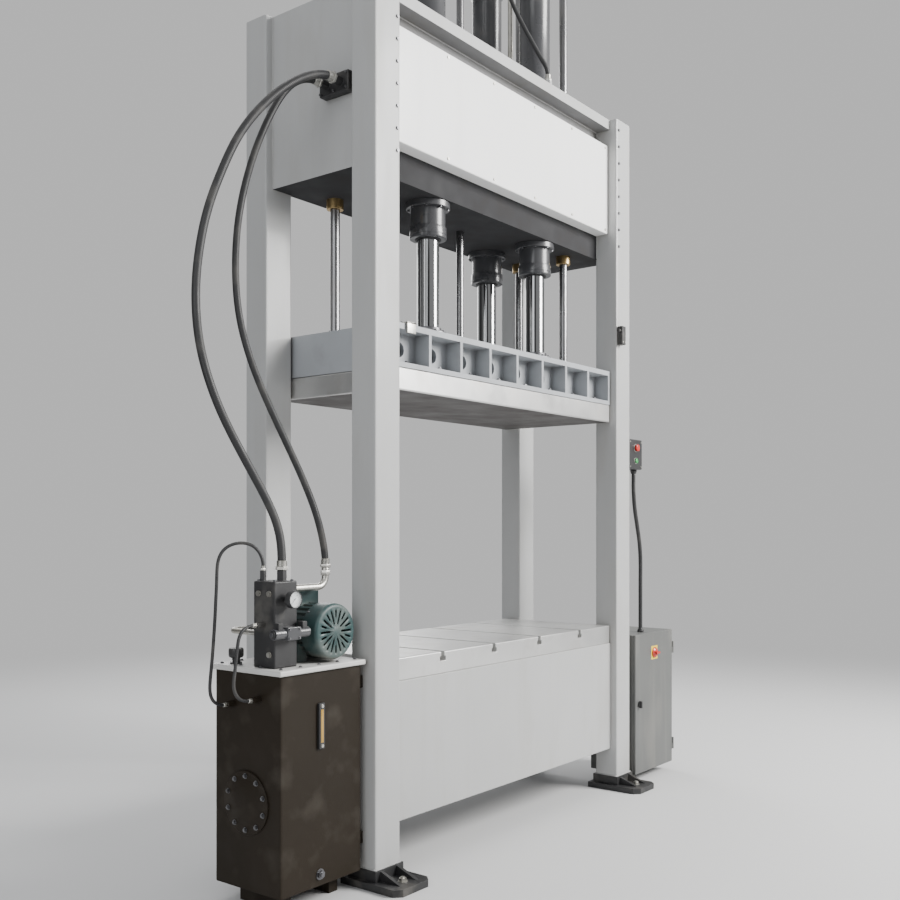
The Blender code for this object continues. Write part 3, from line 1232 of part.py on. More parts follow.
def add_needle():
    """Make the gauge needle on its pin, pointing to the bottom left at rest."""
    tail = NEEDLE_LENGTH / 3
    half = NEEDLE_WIDTH / 2
    outline = [(-half, -tail), (half, -tail), (half / 4, NEEDLE_LENGTH), (-half / 4, NEEDLE_LENGTH)]
    needle = add_prism("gauge_needle", outline, NEEDLE_THICKNESS, BLACK_PLASTIC,
                       turn=Matrix.Rotation(math.pi / 2, 4, "X"))
    dial_y = GAUGE_BACK - GAUGE_STEM_LENGTH - GAUGE_DEPTH * 2 / 3
    needle.location = (MANIFOLD_X, dial_y - NEEDLE_LIFT - NEEDLE_THICKNESS / 2, GAUGE_Z)
    needle.rotation_euler = (0.0, math.radians(-135), 0.0)
    pin = add_turned("needle_pin", rod_profile(NEEDLE_PIN_RADIUS, -NEEDLE_THICKNESS, NEEDLE_PIN_LENGTH - FIT_GAP), ZINC,
                     steps=COARSE_STEPS, group=CUTTERS, axis="Y")
    pin.location = needle.location
    return join(needle, pin)


def add_transfer_pipe():
    """Make the rigid pipe from the manifold's side to the fitting that the return hose lands on."""
    start_x = MANIFOLD_X + MANIFOLD_WIDTH / 2 + FIT_GAP
    z = MANIFOLD_BASE + TRANSFER_RISE
    bend = TRANSFER_RADIUS * 3
    arc = [(TRANSFER_X - bend + bend * math.sin(turn), z + bend - bend * math.cos(turn))
           for turn in (math.radians(18 * step) for step in range(6))]
    path = [(x, MANIFOLD_Y, height) for x, height in [(start_x, z)] + arc + [(TRANSFER_X, TRANSFER_TOP)]]
    pipe = add_tube("transfer_pipe", path, TRANSFER_RADIUS, ZINC, as_mesh=True)
    for label, place, axis in (("start", (start_x, MANIFOLD_Y, z), "X"),
                               ("end", (TRANSFER_X, MANIFOLD_Y, TRANSFER_TOP - PIPE_COLLAR_LENGTH), "Z")):
        collar = add_turned(f"transfer_collar_{label}", collar_profile(PORT_RADIUS, 0.0, PIPE_COLLAR_LENGTH), ZINC,
                            steps=6, group=CUTTERS, axis=axis)
        collar.location = place
        join(pipe, collar)
    return pipe


def add_pump_pipe():
    """Make the rigid pipe from the pump's side to the back of the manifold."""
    pump_y = MOTOR_BACK_Y + MOTOR_BELL_LENGTH + PUMP_BELL_LENGTH + PUMP_BODY_LENGTH / 2
    start_x = MOTOR_X - PUMP_BODY_RADIUS - FIT_GAP
    end_y = MANIFOLD_Y + MANIFOLD_DEPTH / 2 + FIT_GAP
    bend = PUMP_PIPE_RADIUS * 4
    arc = [(MANIFOLD_X + bend - bend * math.sin(turn), pump_y - bend + bend * math.cos(turn))
           for turn in (math.radians(18 * step) for step in range(6))]
    path = [(x, y, MOTOR_Z) for x, y in [(start_x, pump_y)] + arc + [(MANIFOLD_X, end_y)]]
    pipe = add_tube("pump_pipe", path, PUMP_PIPE_RADIUS, ZINC, as_mesh=True)
    for label, place, axis in (("start", (start_x, pump_y, MOTOR_Z), "-X"),
                               ("end", (MANIFOLD_X, end_y, MOTOR_Z), "Y")):
        collar = add_turned(f"pump_collar_{label}", collar_profile(SMALL_PORT_RADIUS + PUMP_PIPE_RADIUS / 3, 0.0,
                                                                   PIPE_COLLAR_LENGTH),
                            ZINC, steps=6, group=CUTTERS, axis=axis)
        collar.location = place
        join(pipe, collar)
    return pipe


def add_cabinet():
    """Make the control cabinet's shell, open at the front behind its door, with lugs to the post."""
    size = Vector((CABINET_RIGHT - CABINET_LEFT, CABINET_DEPTH, CABINET_TOP - CABINET_UNDERSIDE))
    centre = Vector((CABINET_LEFT, CABINET_FRONT, CABINET_UNDERSIDE)) + size / 2
    shell = add_block("cabinet", centre - size / 2, centre + size / 2, CABINET_PAINT)
    add_bevel(shell, CABINET_CORNER_RADIUS)
    sheet = CABINET_SHEET
    rim = CABINET_RIM
    inside = ((CABINET_LEFT + sheet, CABINET_FRONT + sheet, CABINET_UNDERSIDE + sheet),
              (CABINET_RIGHT - sheet, CABINET_FRONT + CABINET_DEPTH - sheet, CABINET_TOP - sheet))
    mouth = ((CABINET_LEFT + rim, CABINET_FRONT - OVERRUN, CABINET_UNDERSIDE + rim),
             (CABINET_RIGHT - rim, CABINET_FRONT + OVERRUN, CABINET_TOP - rim))
    cut(shell, add_boxes("cabinet_mouth", [mouth], CABINET_PAINT, CUTTERS))
    cut(shell, add_boxes("cabinet_inside", [inside], CABINET_PAINT, CUTTERS))
    lugs = []
    lug_back = -HALF_DEPTH + POST_DEPTH - POST_CORNER_RADIUS
    for z in (CABINET_UNDERSIDE + CABINET_LUG, CABINET_TOP - CABINET_LUG * 2):
        lugs.append(((HALF_WIDTH + FIT_GAP, lug_back - CABINET_LUG, z), (CABINET_LEFT + WELD_OVERLAP, lug_back,
                                                                         z + CABINET_LUG)))
    join(shell, add_boxes("cabinet_lugs", lugs, CABINET_PAINT, CUTTERS))
    leaf = HINGE_RADIUS / 4
    leaf_end = CABINET_FRONT + CABINET_RIM
    add_knuckles(shell, "cabinet_hinge", HINGE_LENGTH, [
        ((HINGE_X - leaf, HINGE_Y), (HINGE_X + leaf, leaf_end)),
        ((CABINET_RIGHT - CABINET_SHEET / 2, leaf_end - HINGE_RADIUS), (HINGE_X, leaf_end + leaf)),
    ], CABINET_PAINT)
    return shell


def hinge_levels():
    """Return the middle height of each of the cabinet's two hinges."""
    return (CABINET_UNDERSIDE + HINGE_INSET, CABINET_TOP - HINGE_INSET)


def add_knuckles(thing, label, offset, plates, material):
    """Join a hinge knuckle and its leaf plates to a piece at each hinge, above or below its middle."""
    low = min(offset, 0.0) + FIT_GAP
    high = max(offset, 0.0) - FIT_GAP
    for number, level in enumerate(hinge_levels()):
        knuckle = add_turned(f"{label}_knuckle_{number}", rod_profile(HINGE_RADIUS, low, high), material,
                             steps=12, group=CUTTERS)
        knuckle.location = (HINGE_X, HINGE_Y, level)
        join(thing, knuckle)
        for index, ((near_x, near_y), (far_x, far_y)) in enumerate(plates):
            inset = HINGE_RADIUS / 6 * (index + 1)
            leaf = [((near_x, near_y, level + low + inset), (far_x, far_y, level + high - inset))]
            join(thing, add_boxes(f"{label}_leaf_{number}_{index}", leaf, material, CUTTERS))


def add_door():
    """Make the cabinet door, a folded tray with holes for its latch and its main switch."""
    size = Vector((CABINET_RIGHT - CABINET_LEFT - FIT_GAP * 2, DOOR_THICKNESS, CABINET_TOP - CABINET_UNDERSIDE))
    centre = Vector(((CABINET_LEFT + CABINET_RIGHT) / 2, DOOR_BACK - DOOR_THICKNESS / 2,
                     (CABINET_TOP + CABINET_UNDERSIDE) / 2))
    door = add_block("cabinet_door", centre - size / 2, centre + size / 2, CABINET_PAINT)
    add_bevel(door, DOOR_SHEET)
    hollow = [((centre.x - size.x / 2 + DOOR_SHEET * 2, DOOR_FRONT + DOOR_SHEET, CABINET_UNDERSIDE + DOOR_SHEET * 2),
               (centre.x + size.x / 2 - DOOR_SHEET * 2, DOOR_BACK + OVERRUN, CABINET_TOP - DOOR_SHEET * 2))]
    cut(door, add_boxes("door_hollow", hollow, CABINET_PAINT, CUTTERS))
    places = [(LATCH_X, DOOR_FRONT, DOOR_MIDDLE_Z), (SWITCH_X, DOOR_FRONT, SWITCH_Z)]
    cut(door, add_rods("door_stem_holes", places, clear_radius(LATCH_STEM_RADIUS, FINE_STEPS), -OVERRUN,
                       DOOR_SHEET + OVERRUN / 2, FINE_STEPS, axis="Y"))
    leaf = HINGE_RADIUS / 4
    add_knuckles(door, "door_hinge", -HINGE_LENGTH,
                 [((CABINET_RIGHT - HINGE_RADIUS * 2, HINGE_Y - leaf), (HINGE_X + leaf, HINGE_Y + leaf))],
                 CABINET_PAINT)
    return door


def add_latch():
    """Make the door's quarter-turn latch: a round base, a wing and the stem through the door."""
    stem = DOOR_SHEET + LATCH_STEM_RADIUS
    profile = [
        (0.0, LATCH_THICKNESS), (LATCH_RADIUS, LATCH_THICKNESS), (LATCH_RADIUS, 0.0), (LATCH_STEM_RADIUS, 0.0),
        (LATCH_STEM_RADIUS, -stem), (0.0, -stem),
    ]
    latch = add_turned("door_latch", profile, BLACK_PLASTIC, axis="-Y")
    latch.location = (LATCH_X, DOOR_FRONT - FIT_GAP, DOOR_MIDDLE_Z)
    half_x = LATCH_WING_WIDTH / 2
    half_z = LATCH_WING_LENGTH / 2
    wing = add_boxes("latch_wing", [((-half_x, -LATCH_THICKNESS - LATCH_WING_HEIGHT, -half_z),
                                     (half_x, -LATCH_THICKNESS / 2, half_z))], BLACK_PLASTIC, CUTTERS)
    wing.location = latch.location
    return join(latch, wing)


def add_main_switch():
    """Make the rotary main switch: its round collar, its grip and its stem."""
    stem = DOOR_SHEET + LATCH_STEM_RADIUS
    collar = MAIN_SWITCH_COLLAR
    profile = [
        (0.0, collar * 2), (MAIN_SWITCH_HANDLE_RADIUS, collar * 2), (MAIN_SWITCH_SIZE / 2, collar),
        (MAIN_SWITCH_SIZE / 2, 0.0), (LATCH_STEM_RADIUS, 0.0), (LATCH_STEM_RADIUS, -stem), (0.0, -stem),
    ]
    switch = add_turned("main_switch", profile, RED_PLASTIC, axis="-Y")
    switch.location = (SWITCH_X, DOOR_FRONT - FIT_GAP, SWITCH_Z)
    half_x = MAIN_SWITCH_HANDLE_RADIUS
    half_z = MAIN_SWITCH_GRIP_WIDTH / 2
    grip = add_boxes("switch_grip", [((-half_x, -collar * 2 - MAIN_SWITCH_GRIP_HEIGHT, -half_z),
                                      (half_x, -collar, half_z))], RED_PLASTIC, CUTTERS)
    grip.location = switch.location
    return join(switch, grip)


def add_switch_box():
    """Make the operator's switch box, with a hole for each button and a gland for the conduit."""
    box = add_block("switch_box", (BOX_LEFT, BOX_FRONT, BOX_UNDERSIDE),
                    (BOX_LEFT + BOX_WIDTH, BOX_FRONT + BOX_DEPTH, BOX_UNDERSIDE + BOX_HEIGHT), BLACK_PLASTIC)
    add_bevel(box, BOX_CORNER_RADIUS, CORNER_SEGMENTS)
    holes = [(BOX_MIDDLE_X, BOX_FRONT, STOP_Z), (BOX_MIDDLE_X, BOX_FRONT, START_Z)]
    return cut(box, add_rods("button_holes", holes, BUTTON_HOLE_RADIUS, -OVERRUN, BUTTON_HOLE_DEPTH, axis="Y"))


def add_button(name, z, head_radius, head_thickness, travel, material):
    """Make one push button, whose head stands clear of the box by its travel."""
    stem = BUTTON_HOLE_RADIUS - FIT_GAP
    profile = [
        (0.0, travel + head_thickness), (head_radius - TURNED_CHAMFER / 2, travel + head_thickness),
        (head_radius, travel + head_thickness - TURNED_CHAMFER / 2), (head_radius, travel + FIT_GAP),
        (stem, travel + FIT_GAP), (stem, -BUTTON_STEM_LENGTH), (0.0, -BUTTON_STEM_LENGTH),
    ]
    button = add_turned(name, profile, material, steps=COARSE_STEPS, axis="-Y")
    button.location = (BOX_MIDDLE_X, BOX_FRONT, z)
    return button


def add_conduit():
    """Make the rigid conduit from the cabinet's top to the switch box, with a gland at each end."""
    low_z = CABINET_TOP + FIT_GAP
    high_z = BOX_UNDERSIDE - FIT_GAP
    y = BOX_FRONT + BOX_DEPTH / 2
    rise = high_z - low_z
    levels = [(CONDUIT_FOOT_X, share) for share in CONDUIT_LOW_SHARES]
    levels += [(CONDUIT_HEAD_X, share) for share in CONDUIT_HIGH_SHARES]
    path = smooth_route([(x, y, low_z + rise * share) for x, share in levels], CONDUIT_POINTS)
    conduit = add_tube("conduit", path, CONDUIT_RADIUS, BLACK_PLASTIC, as_mesh=True)
    for label, x, z in (("low", CONDUIT_FOOT_X, low_z), ("high", CONDUIT_HEAD_X, high_z - CONDUIT_GLAND_LENGTH)):
        gland = add_turned(f"conduit_gland_{label}", collar_profile(CONDUIT_GLAND_RADIUS, 0.0, CONDUIT_GLAND_LENGTH),
                           BLACK_PLASTIC, steps=12, group=CUTTERS)
        gland.location = (x, y, z)
        join(conduit, gland)
    return conduit


def add_sensor():
    """Make the position sensor on the right front post, with its nose towards the platen."""
    back = -HALF_DEPTH - FIT_GAP
    left = INNER_X + SENSOR_CORNER_RADIUS
    sensor = add_block("position_sensor", (left, back - SENSOR_DEPTH, SENSOR_Z),
                       (left + SENSOR_WIDTH, back, SENSOR_Z + SENSOR_HEIGHT), BLACK_PLASTIC)
    add_bevel(sensor, SENSOR_CORNER_RADIUS)
    nose = add_turned("sensor_nose", rod_profile(SENSOR_NOSE_RADIUS, -WELD_OVERLAP * 2, SENSOR_NOSE_LENGTH), ZINC,
                      steps=12, group=CUTTERS, axis="-X")
    nose.location = (left, back - SENSOR_DEPTH / 2, SENSOR_Z + SENSOR_HEIGHT * 0.75)
    return join(sensor, nose)


# Places that the pipes, hoses and controls share
MANIFOLD_PORT_SHIFT = MANIFOLD_WIDTH * PORT_SHIFT_SHARE
PILOT_SIDE_Z = MANIFOLD_BASE + MANIFOLD_HEIGHT / 2
TANK_PORTS = ((-0.09, 0.80), (-0.235, 0.83))
DOOR_MIDDLE_Z = (CABINET_UNDERSIDE + CABINET_TOP) / 2
LATCH_X = CABINET_LEFT + LATCH_INSET
SWITCH_X = (CABINET_LEFT + CABINET_RIGHT) / 2
SWITCH_Z = CABINET_TOP - MAIN_SWITCH_DROP
JUMPER_FOOT_Y = -HALF_DEPTH + JUMPER_FOOT_RECESS
JUMPER_HEAD_X = CYLINDER_SPAN_X / 2 - BARREL_RADIUS - PORT_LENGTH
JUMPER_HEAD_Y = -CYLINDER_SPAN_Y / 2
JUMPER_HEAD_Z = BARREL_TOP - JUMPER_HEAD_DROP
CONDUIT_HEAD_X = BOX_LEFT + BOX_WIDTH - CONDUIT_GLAND_RADIUS * 1.6
CONDUIT_FOOT_X = BOX_LEFT + BOX_WIDTH + CONDUIT_GLAND_RADIUS * 3


def add_hoses():
    """Run the five hoses from fitting to fitting."""
    lead = HOSE_LEAD
    port_x = -HALF_WIDTH + CROWN_END_RECESS - FIT_GAP * 2 - PORT_BLOCK_THICKNESS - PORT_LENGTH
    front_port = PORT_BLOCK_Y - PORT_SPACING / 2
    rear_port = PORT_BLOCK_Y + PORT_SPACING / 2
    main_x = MANIFOLD_X + MANIFOLD_PORT_SHIFT
    port_z = MANIFOLD_TOP + PORT_LENGTH + FIT_GAP
    outer = [(port_x, front_port, PORT_BLOCK_Z), (port_x - lead, front_port, PORT_BLOCK_Z)]
    outer += OUTER_LOOP
    outer += [(main_x, MANIFOLD_Y, port_z + lead), (main_x, MANIFOLD_Y, port_z)]
    inner = [(port_x, rear_port, PORT_BLOCK_Z), (port_x - lead, rear_port, PORT_BLOCK_Z)]
    inner += INNER_LOOP
    inner += [(TRANSFER_X, MANIFOLD_Y, TRANSFER_TOP + lead), (TRANSFER_X, MANIFOLD_Y, TRANSFER_TOP + FIT_GAP)]
    tank_x = TANK_LEFT - TANK_PORT_LENGTH - FIT_GAP
    pilot_x = MANIFOLD_X - MANIFOLD_PORT_SHIFT
    pilot_y = MANIFOLD_Y + MANIFOLD_PORT_SHIFT
    (outer_port_y, outer_port_z), (inner_port_y, inner_port_z) = TANK_PORTS
    pilot_outer = [(pilot_x, pilot_y, port_z), (pilot_x, pilot_y, port_z + lead)]
    pilot_outer += PILOT_OUTER_LOOP
    pilot_outer += [(tank_x - lead, outer_port_y, outer_port_z), (tank_x, outer_port_y, outer_port_z)]
    side_x = MANIFOLD_X - MANIFOLD_WIDTH / 2 - PORT_LENGTH - FIT_GAP
    pilot_inner = [(side_x, MANIFOLD_Y, PILOT_SIDE_Z), (side_x - lead, MANIFOLD_Y, PILOT_SIDE_Z)]
    pilot_inner += PILOT_INNER_LOOP
    pilot_inner += [(tank_x - lead, inner_port_y, inner_port_z), (tank_x, inner_port_y, inner_port_z)]
    foot_z = FRAME_HEIGHT + PORT_LENGTH + FIT_GAP
    head_x = JUMPER_HEAD_X - FIT_GAP
    jumper = [(JUMPER_FOOT_X, JUMPER_FOOT_Y, foot_z), (JUMPER_FOOT_X, JUMPER_FOOT_Y, foot_z + lead)]
    jumper += JUMPER_LOOP
    jumper += [(head_x - lead, JUMPER_HEAD_Y, JUMPER_HEAD_Z), (head_x, JUMPER_HEAD_Y, JUMPER_HEAD_Z)]
    hoses = [
        ("main_hose_outer", outer, MAIN_HOSE_RADIUS, MAIN_HOSE_POINTS),
        ("main_hose_inner", inner, RETURN_HOSE_RADIUS, MAIN_HOSE_POINTS),
        ("pilot_hose_outer", pilot_outer, PILOT_HOSE_RADIUS, MAIN_HOSE_POINTS),
        ("pilot_hose_inner", pilot_inner, PILOT_HOSE_RADIUS, SHORT_HOSE_POINTS),
        ("jumper_hose", jumper, JUMPER_HOSE_RADIUS, SHORT_HOSE_POINTS),
    ]
    for name, route, radius, count in hoses:
        add_tube(name, smooth_route(route, count), radius, RUBBER)


def build_frame():
    """Build everything that stands still around the platen."""
    for row in ROWS:
        for side in SIDES:
            add_foot(row, side)
            smooth_shade(add_post(row, side))
            add_cylinder(row, side)
            add_guide_bush(row, side)
    add_bed()
    add_bolster()
    add_crown()
    add_cover()
    for side in SIDES:
        add_cap_pipe(side)
    add_port_block()
    add_sensor()


def build_platen():
    """Build the moving platen with its rams and rods, carried by one empty."""
    pieces = [add_platen(), add_die_plate()]
    for row, side in CYLINDER_PLACES:
        pieces.append(add_ram(row, side))
    for (row, side), (x, y) in GUIDE_PLACES.items():
        pieces.append(add_collared_rod(f"guide_rod_{row}_{side}", x, y, GUIDE_RADIUS, GUIDE_TOP, GUIDE_COLLAR_RADIUS))
    pieces.append(add_collared_rod("centre_rod", 0.0, 0.0, CENTRE_ROD_RADIUS, CENTRE_ROD_TOP, CENTRE_COLLAR_RADIUS))
    carry(add_empty("platen_slide", (0.0, 0.0, PLATEN_UNDERSIDE)), *pieces)


def build_power_unit():
    """Build the tank with the motor, pump, valves and gauge on its lid."""
    add_tank()
    add_lid()
    add_motor()
    add_fan_cover()
    add_rotor()
    add_pump()
    add_manifold()
    add_valve()
    add_gauge()
    add_needle()
    add_transfer_pipe()
    add_pump_pipe()


def build_controls():
    """Build the cabinet with its door and the operator's switch box."""
    add_cabinet()
    door = add_door()
    latch = add_latch()
    switch = add_main_switch()
    carry(add_empty("door_hinge", (HINGE_X, HINGE_Y, 0.0)), door, latch, switch)
    add_switch_box()
    add_button("stop_button", STOP_Z, STOP_HEAD_RADIUS, STOP_HEAD_THICKNESS, STOP_TRAVEL, RED_PLASTIC)
    add_button("start_button", START_Z, START_HEAD_RADIUS, START_HEAD_THICKNESS, START_TRAVEL, GREEN_PLASTIC)
    add_conduit()


def build():
    """Build the whole press."""
    build_frame()
    build_platen()
    build_power_unit()
    build_controls()
    add_hoses()


build()
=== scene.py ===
"""Looks of the four-post hydraulic press: finishes, smooth turned parts, fasteners, welds, hoses and the studio."""
import json
import logging
import math
from dataclasses import dataclass, field
from enum import Enum
from typing import Callable, Iterable, Sequence

import bmesh
import bpy
from mathutils import Matrix, Vector

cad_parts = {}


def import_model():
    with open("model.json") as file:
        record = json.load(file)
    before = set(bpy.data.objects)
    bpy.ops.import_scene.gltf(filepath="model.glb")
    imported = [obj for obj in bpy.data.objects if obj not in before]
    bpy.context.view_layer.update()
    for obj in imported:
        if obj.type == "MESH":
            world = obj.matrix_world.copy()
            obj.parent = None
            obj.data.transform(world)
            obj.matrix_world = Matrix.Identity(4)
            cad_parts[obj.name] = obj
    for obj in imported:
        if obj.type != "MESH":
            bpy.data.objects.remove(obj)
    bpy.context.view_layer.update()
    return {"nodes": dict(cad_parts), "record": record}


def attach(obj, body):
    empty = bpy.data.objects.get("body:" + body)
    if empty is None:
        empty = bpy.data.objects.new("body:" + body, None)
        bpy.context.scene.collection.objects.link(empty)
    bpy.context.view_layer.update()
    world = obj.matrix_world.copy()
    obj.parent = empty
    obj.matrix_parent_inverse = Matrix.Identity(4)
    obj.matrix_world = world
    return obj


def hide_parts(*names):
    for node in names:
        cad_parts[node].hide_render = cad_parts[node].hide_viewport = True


LOG = logging.getLogger("press")
Colour = tuple[float, float, float]
Point = tuple[float, float, float]
Profile = Sequence[tuple[float, float]]
ROWS = {"front": -1, "rear": 1}
SIDES = {"left": -1, "right": 1}
CORNERS = [(row, side) for row in ROWS for side in SIDES]
CYLINDER_SPANS = (0.92, 0.32)
GUIDE_SPANS = (1.54, 0.30)
ON_CROWN = 3.8003
ON_PLATEN = 2.3706
EVEN = (1.0, 1.0, 1.0)


def link(name: str, data: bpy.types.ID) -> bpy.types.Object:
    """Put a new object of some data into the scene.

    Args:
        name: The object's name.
        data: Its mesh, curve, camera or light.

    Returns:
        The object.
    """
    piece = bpy.data.objects.new(name, data)
    bpy.context.scene.collection.objects.link(piece)
    return piece


def add_node(tree: bpy.types.NodeTree, kind: str, links: dict[int | str, object] | None = None,
             **settings: object) -> bpy.types.Node:
    """Add a node to a tree.

    Args:
        tree: The tree.
        kind: The node's type.
        links: Inputs by name or number, with a socket or a value each.
        settings: The node's own settings.

    Returns:
        The node.
    """
    node = tree.nodes.new(kind)
    for key, value in settings.items():
        setattr(node, key, value)
    for key, value in (links or {}).items():
        if isinstance(value, bpy.types.NodeSocket):
            tree.links.new(value, node.inputs[key])
        else:
            node.inputs[key].default_value = value
    return node


def plain_material(name: str, **values: object) -> bpy.types.Material:
    """Make a material of constant values.

    Args:
        name: The material's name.
        values: The shader's inputs, with an underscore for each space.

    Returns:
        The material.
    """
    material = bpy.data.materials.new(name)
    material.use_nodes = True
    for key, value in values.items():
        material.node_tree.nodes["Principled BSDF"].inputs[key.replace("_", " ")].default_value = value
    return material


class Grain(Enum):
    """What the surface of a finish is like close up."""

    PEEL = "sprayed paint"
    BRUSHED = "ground or drawn metal"
    CAST = "rough casting"
    WOVEN = "cloth-wrapped rubber"
    FINE = "moulded plastic"


class Heading(Enum):
    """Which way a turned piece or a fastener points."""

    UP = Matrix.Identity(4)
    DOWN = Matrix.Rotation(math.pi, 4, "X")
    FRONT = Matrix.Rotation(math.pi / 2, 4, "X")
    REAR = Matrix.Rotation(-math.pi / 2, 4, "X")
    RIGHT = Matrix.Rotation(math.pi / 2, 4, "Y")
    LEFT = Matrix.Rotation(-math.pi / 2, 4, "Y")


@dataclass(frozen=True)
class Finish:
    """How a surface is coloured, marked and lit."""

    name: str
    colour: Colour
    roughness: float
    metallic: float = 0.0
    coat: float = 0.0
    grain: Grain = Grain.PEEL
    grain_size: float = 0.004
    grain_depth: float = 0.00025
    along: Point = EVEN
    mottle: float = 0.10
    mottle_size: float = 0.35
    grime: Colour = (0.16, 0.14, 0.12)
    grime_share: float = 0.30
    # How much the grime colour darkens inner corners, where an ambient occlusion mask finds them.
    occlusion_darkening: float = 0.0
    runs: float = 0.0
    specular: float = 0.5

    def build(self) -> bpy.types.Material:
        """Make the material's nodes.

        Returns:
            The finished material.
        """
        material = plain_material(self.name, Metallic=self.metallic, Coat_Weight=self.coat, Coat_Roughness=0.12,
                                  Specular_IOR_Level=self.specular)
        material.diffuse_color = (*self.colour, 1.0)
        tree = material.node_tree
        shader = tree.nodes["Principled BSDF"]
        place = tree.nodes.new("ShaderNodeTexCoord").outputs["Object"]
        broad = self._noise(tree, place, 1.0 / self.mottle_size, 4.0)
        patches = self._noise(tree, place, 7.0, 8.0, (1.0, 1.0, 0.25 if self.runs else 1.0))
        shade = self._range(tree, broad, (0.3, 0.7), (1.0 - self.mottle, 1.0 + self.mottle * 0.4))
        tint = add_node(tree, "ShaderNodeMix", {0: 1.0}, data_type="RGBA", blend_type="MULTIPLY")
        tint.inputs[6].default_value = (*self.colour, 1.0)
        tree.links.new(shade, tint.inputs[7])
        mask = self._range(tree, patches, (0.52, 0.74), (0.0, self.grime_share))
        if self.runs:
            streaks = self._noise(tree, place, 26.0, 3.0, (1.0, 1.0, 0.035))
            mask = self._add(tree, mask, self._range(tree, streaks, (0.55, 0.80), (0.0, self.runs)))
        # Darken the inner corners that ambient occlusion finds.
        if self.occlusion_darkening:
            mask = self._add(tree, mask, self._corners(tree))
        dirty = add_node(tree, "ShaderNodeMix", {0: mask}, data_type="RGBA")
        tree.links.new(tint.outputs[2], dirty.inputs[6])
        dirty.inputs[7].default_value = (*self.grime, 1.0)
        tree.links.new(dirty.outputs[2], shader.inputs["Base Color"])
        rough = self._range(tree, patches, (0.3, 0.75), (self.roughness * 0.85, min(1.0, self.roughness * 1.3)))
        tree.links.new(rough, shader.inputs["Roughness"])
        tree.links.new(self._relief(tree, place), shader.inputs["Normal"])
        return material

    def _noise(self, tree: bpy.types.NodeTree, place: bpy.types.NodeSocket, scale: float, detail: float,
               stretch: Point = EVEN) -> bpy.types.NodeSocket:
        """Add a noise in object space.

        Args:
            tree: The material's tree.
            place: The coordinates.
            scale: How many features a metre.
            detail: How many octaves.
            stretch: The scale along each axis.

        Returns:
            The noise's value.
        """
        mapping = add_node(tree, "ShaderNodeMapping", {"Scale": stretch, "Vector": place})
        noise = add_node(tree, "ShaderNodeTexNoise", {"Scale": scale, "Detail": detail, "Vector": mapping.outputs[0]})
        return noise.outputs["Fac"]

    def _range(self, tree: bpy.types.NodeTree, value: bpy.types.NodeSocket, taken: tuple[float, float],
               given: tuple[float, float]) -> bpy.types.NodeSocket:
        """Map a value from one range to another.

        Args:
            tree: The material's tree.
            value: The value.
            taken: The range that it comes in.
            given: The range that it is mapped to.

        Returns:
            The mapped value.
        """
        limits = dict(enumerate((*taken, *given), start=1))
        return add_node(tree, "ShaderNodeMapRange", {0: value, **limits}).outputs[0]

    def _add(self, tree: bpy.types.NodeTree, first: bpy.types.NodeSocket,
             second: bpy.types.NodeSocket) -> bpy.types.NodeSocket:
        """Return the sum of two masks, kept under one."""
        return add_node(tree, "ShaderNodeMath", {0: first, 1: second}, operation="ADD", use_clamp=True).outputs[0]

    def _corners(self, tree: bpy.types.NodeTree) -> bpy.types.NodeSocket:
        """Return a mask that darkens the inner corners, found by ambient occlusion."""
        node = add_node(tree, "ShaderNodeAmbientOcclusion", {"Distance": 0.05}, samples=4)
        return self._range(tree, node.outputs["AO"], (0.75, 0.25), (0.0, self.occlusion_darkening))

    def _relief(self, tree: bpy.types.NodeTree, place: bpy.types.NodeSocket) -> bpy.types.NodeSocket:
        """Add the close-up relief.

        Args:
            tree: The material's tree.
            place: The coordinates.

        Returns:
            The bent normal.
        """
        if self.grain is Grain.WOVEN:
            height = add_node(tree, "ShaderNodeTexWave", {"Scale": 0.3 / self.grain_size, "Distortion": 0.4,
                                                          "Vector": place}, bands_direction="DIAGONAL").outputs["Fac"]
        else:
            detail = {Grain.PEEL: 2.0, Grain.BRUSHED: 3.0, Grain.CAST: 8.0, Grain.FINE: 1.0}[self.grain]
            height = self._noise(tree, place, 1.0 / self.grain_size, detail, self.along)
        bump = add_node(tree, "ShaderNodeBump", {"Strength": 1.0, "Distance": self.grain_depth, "Height": height})
        return bump.outputs["Normal"]


DUST = (0.42, 0.39, 0.34)
OIL = (0.05, 0.04, 0.03)

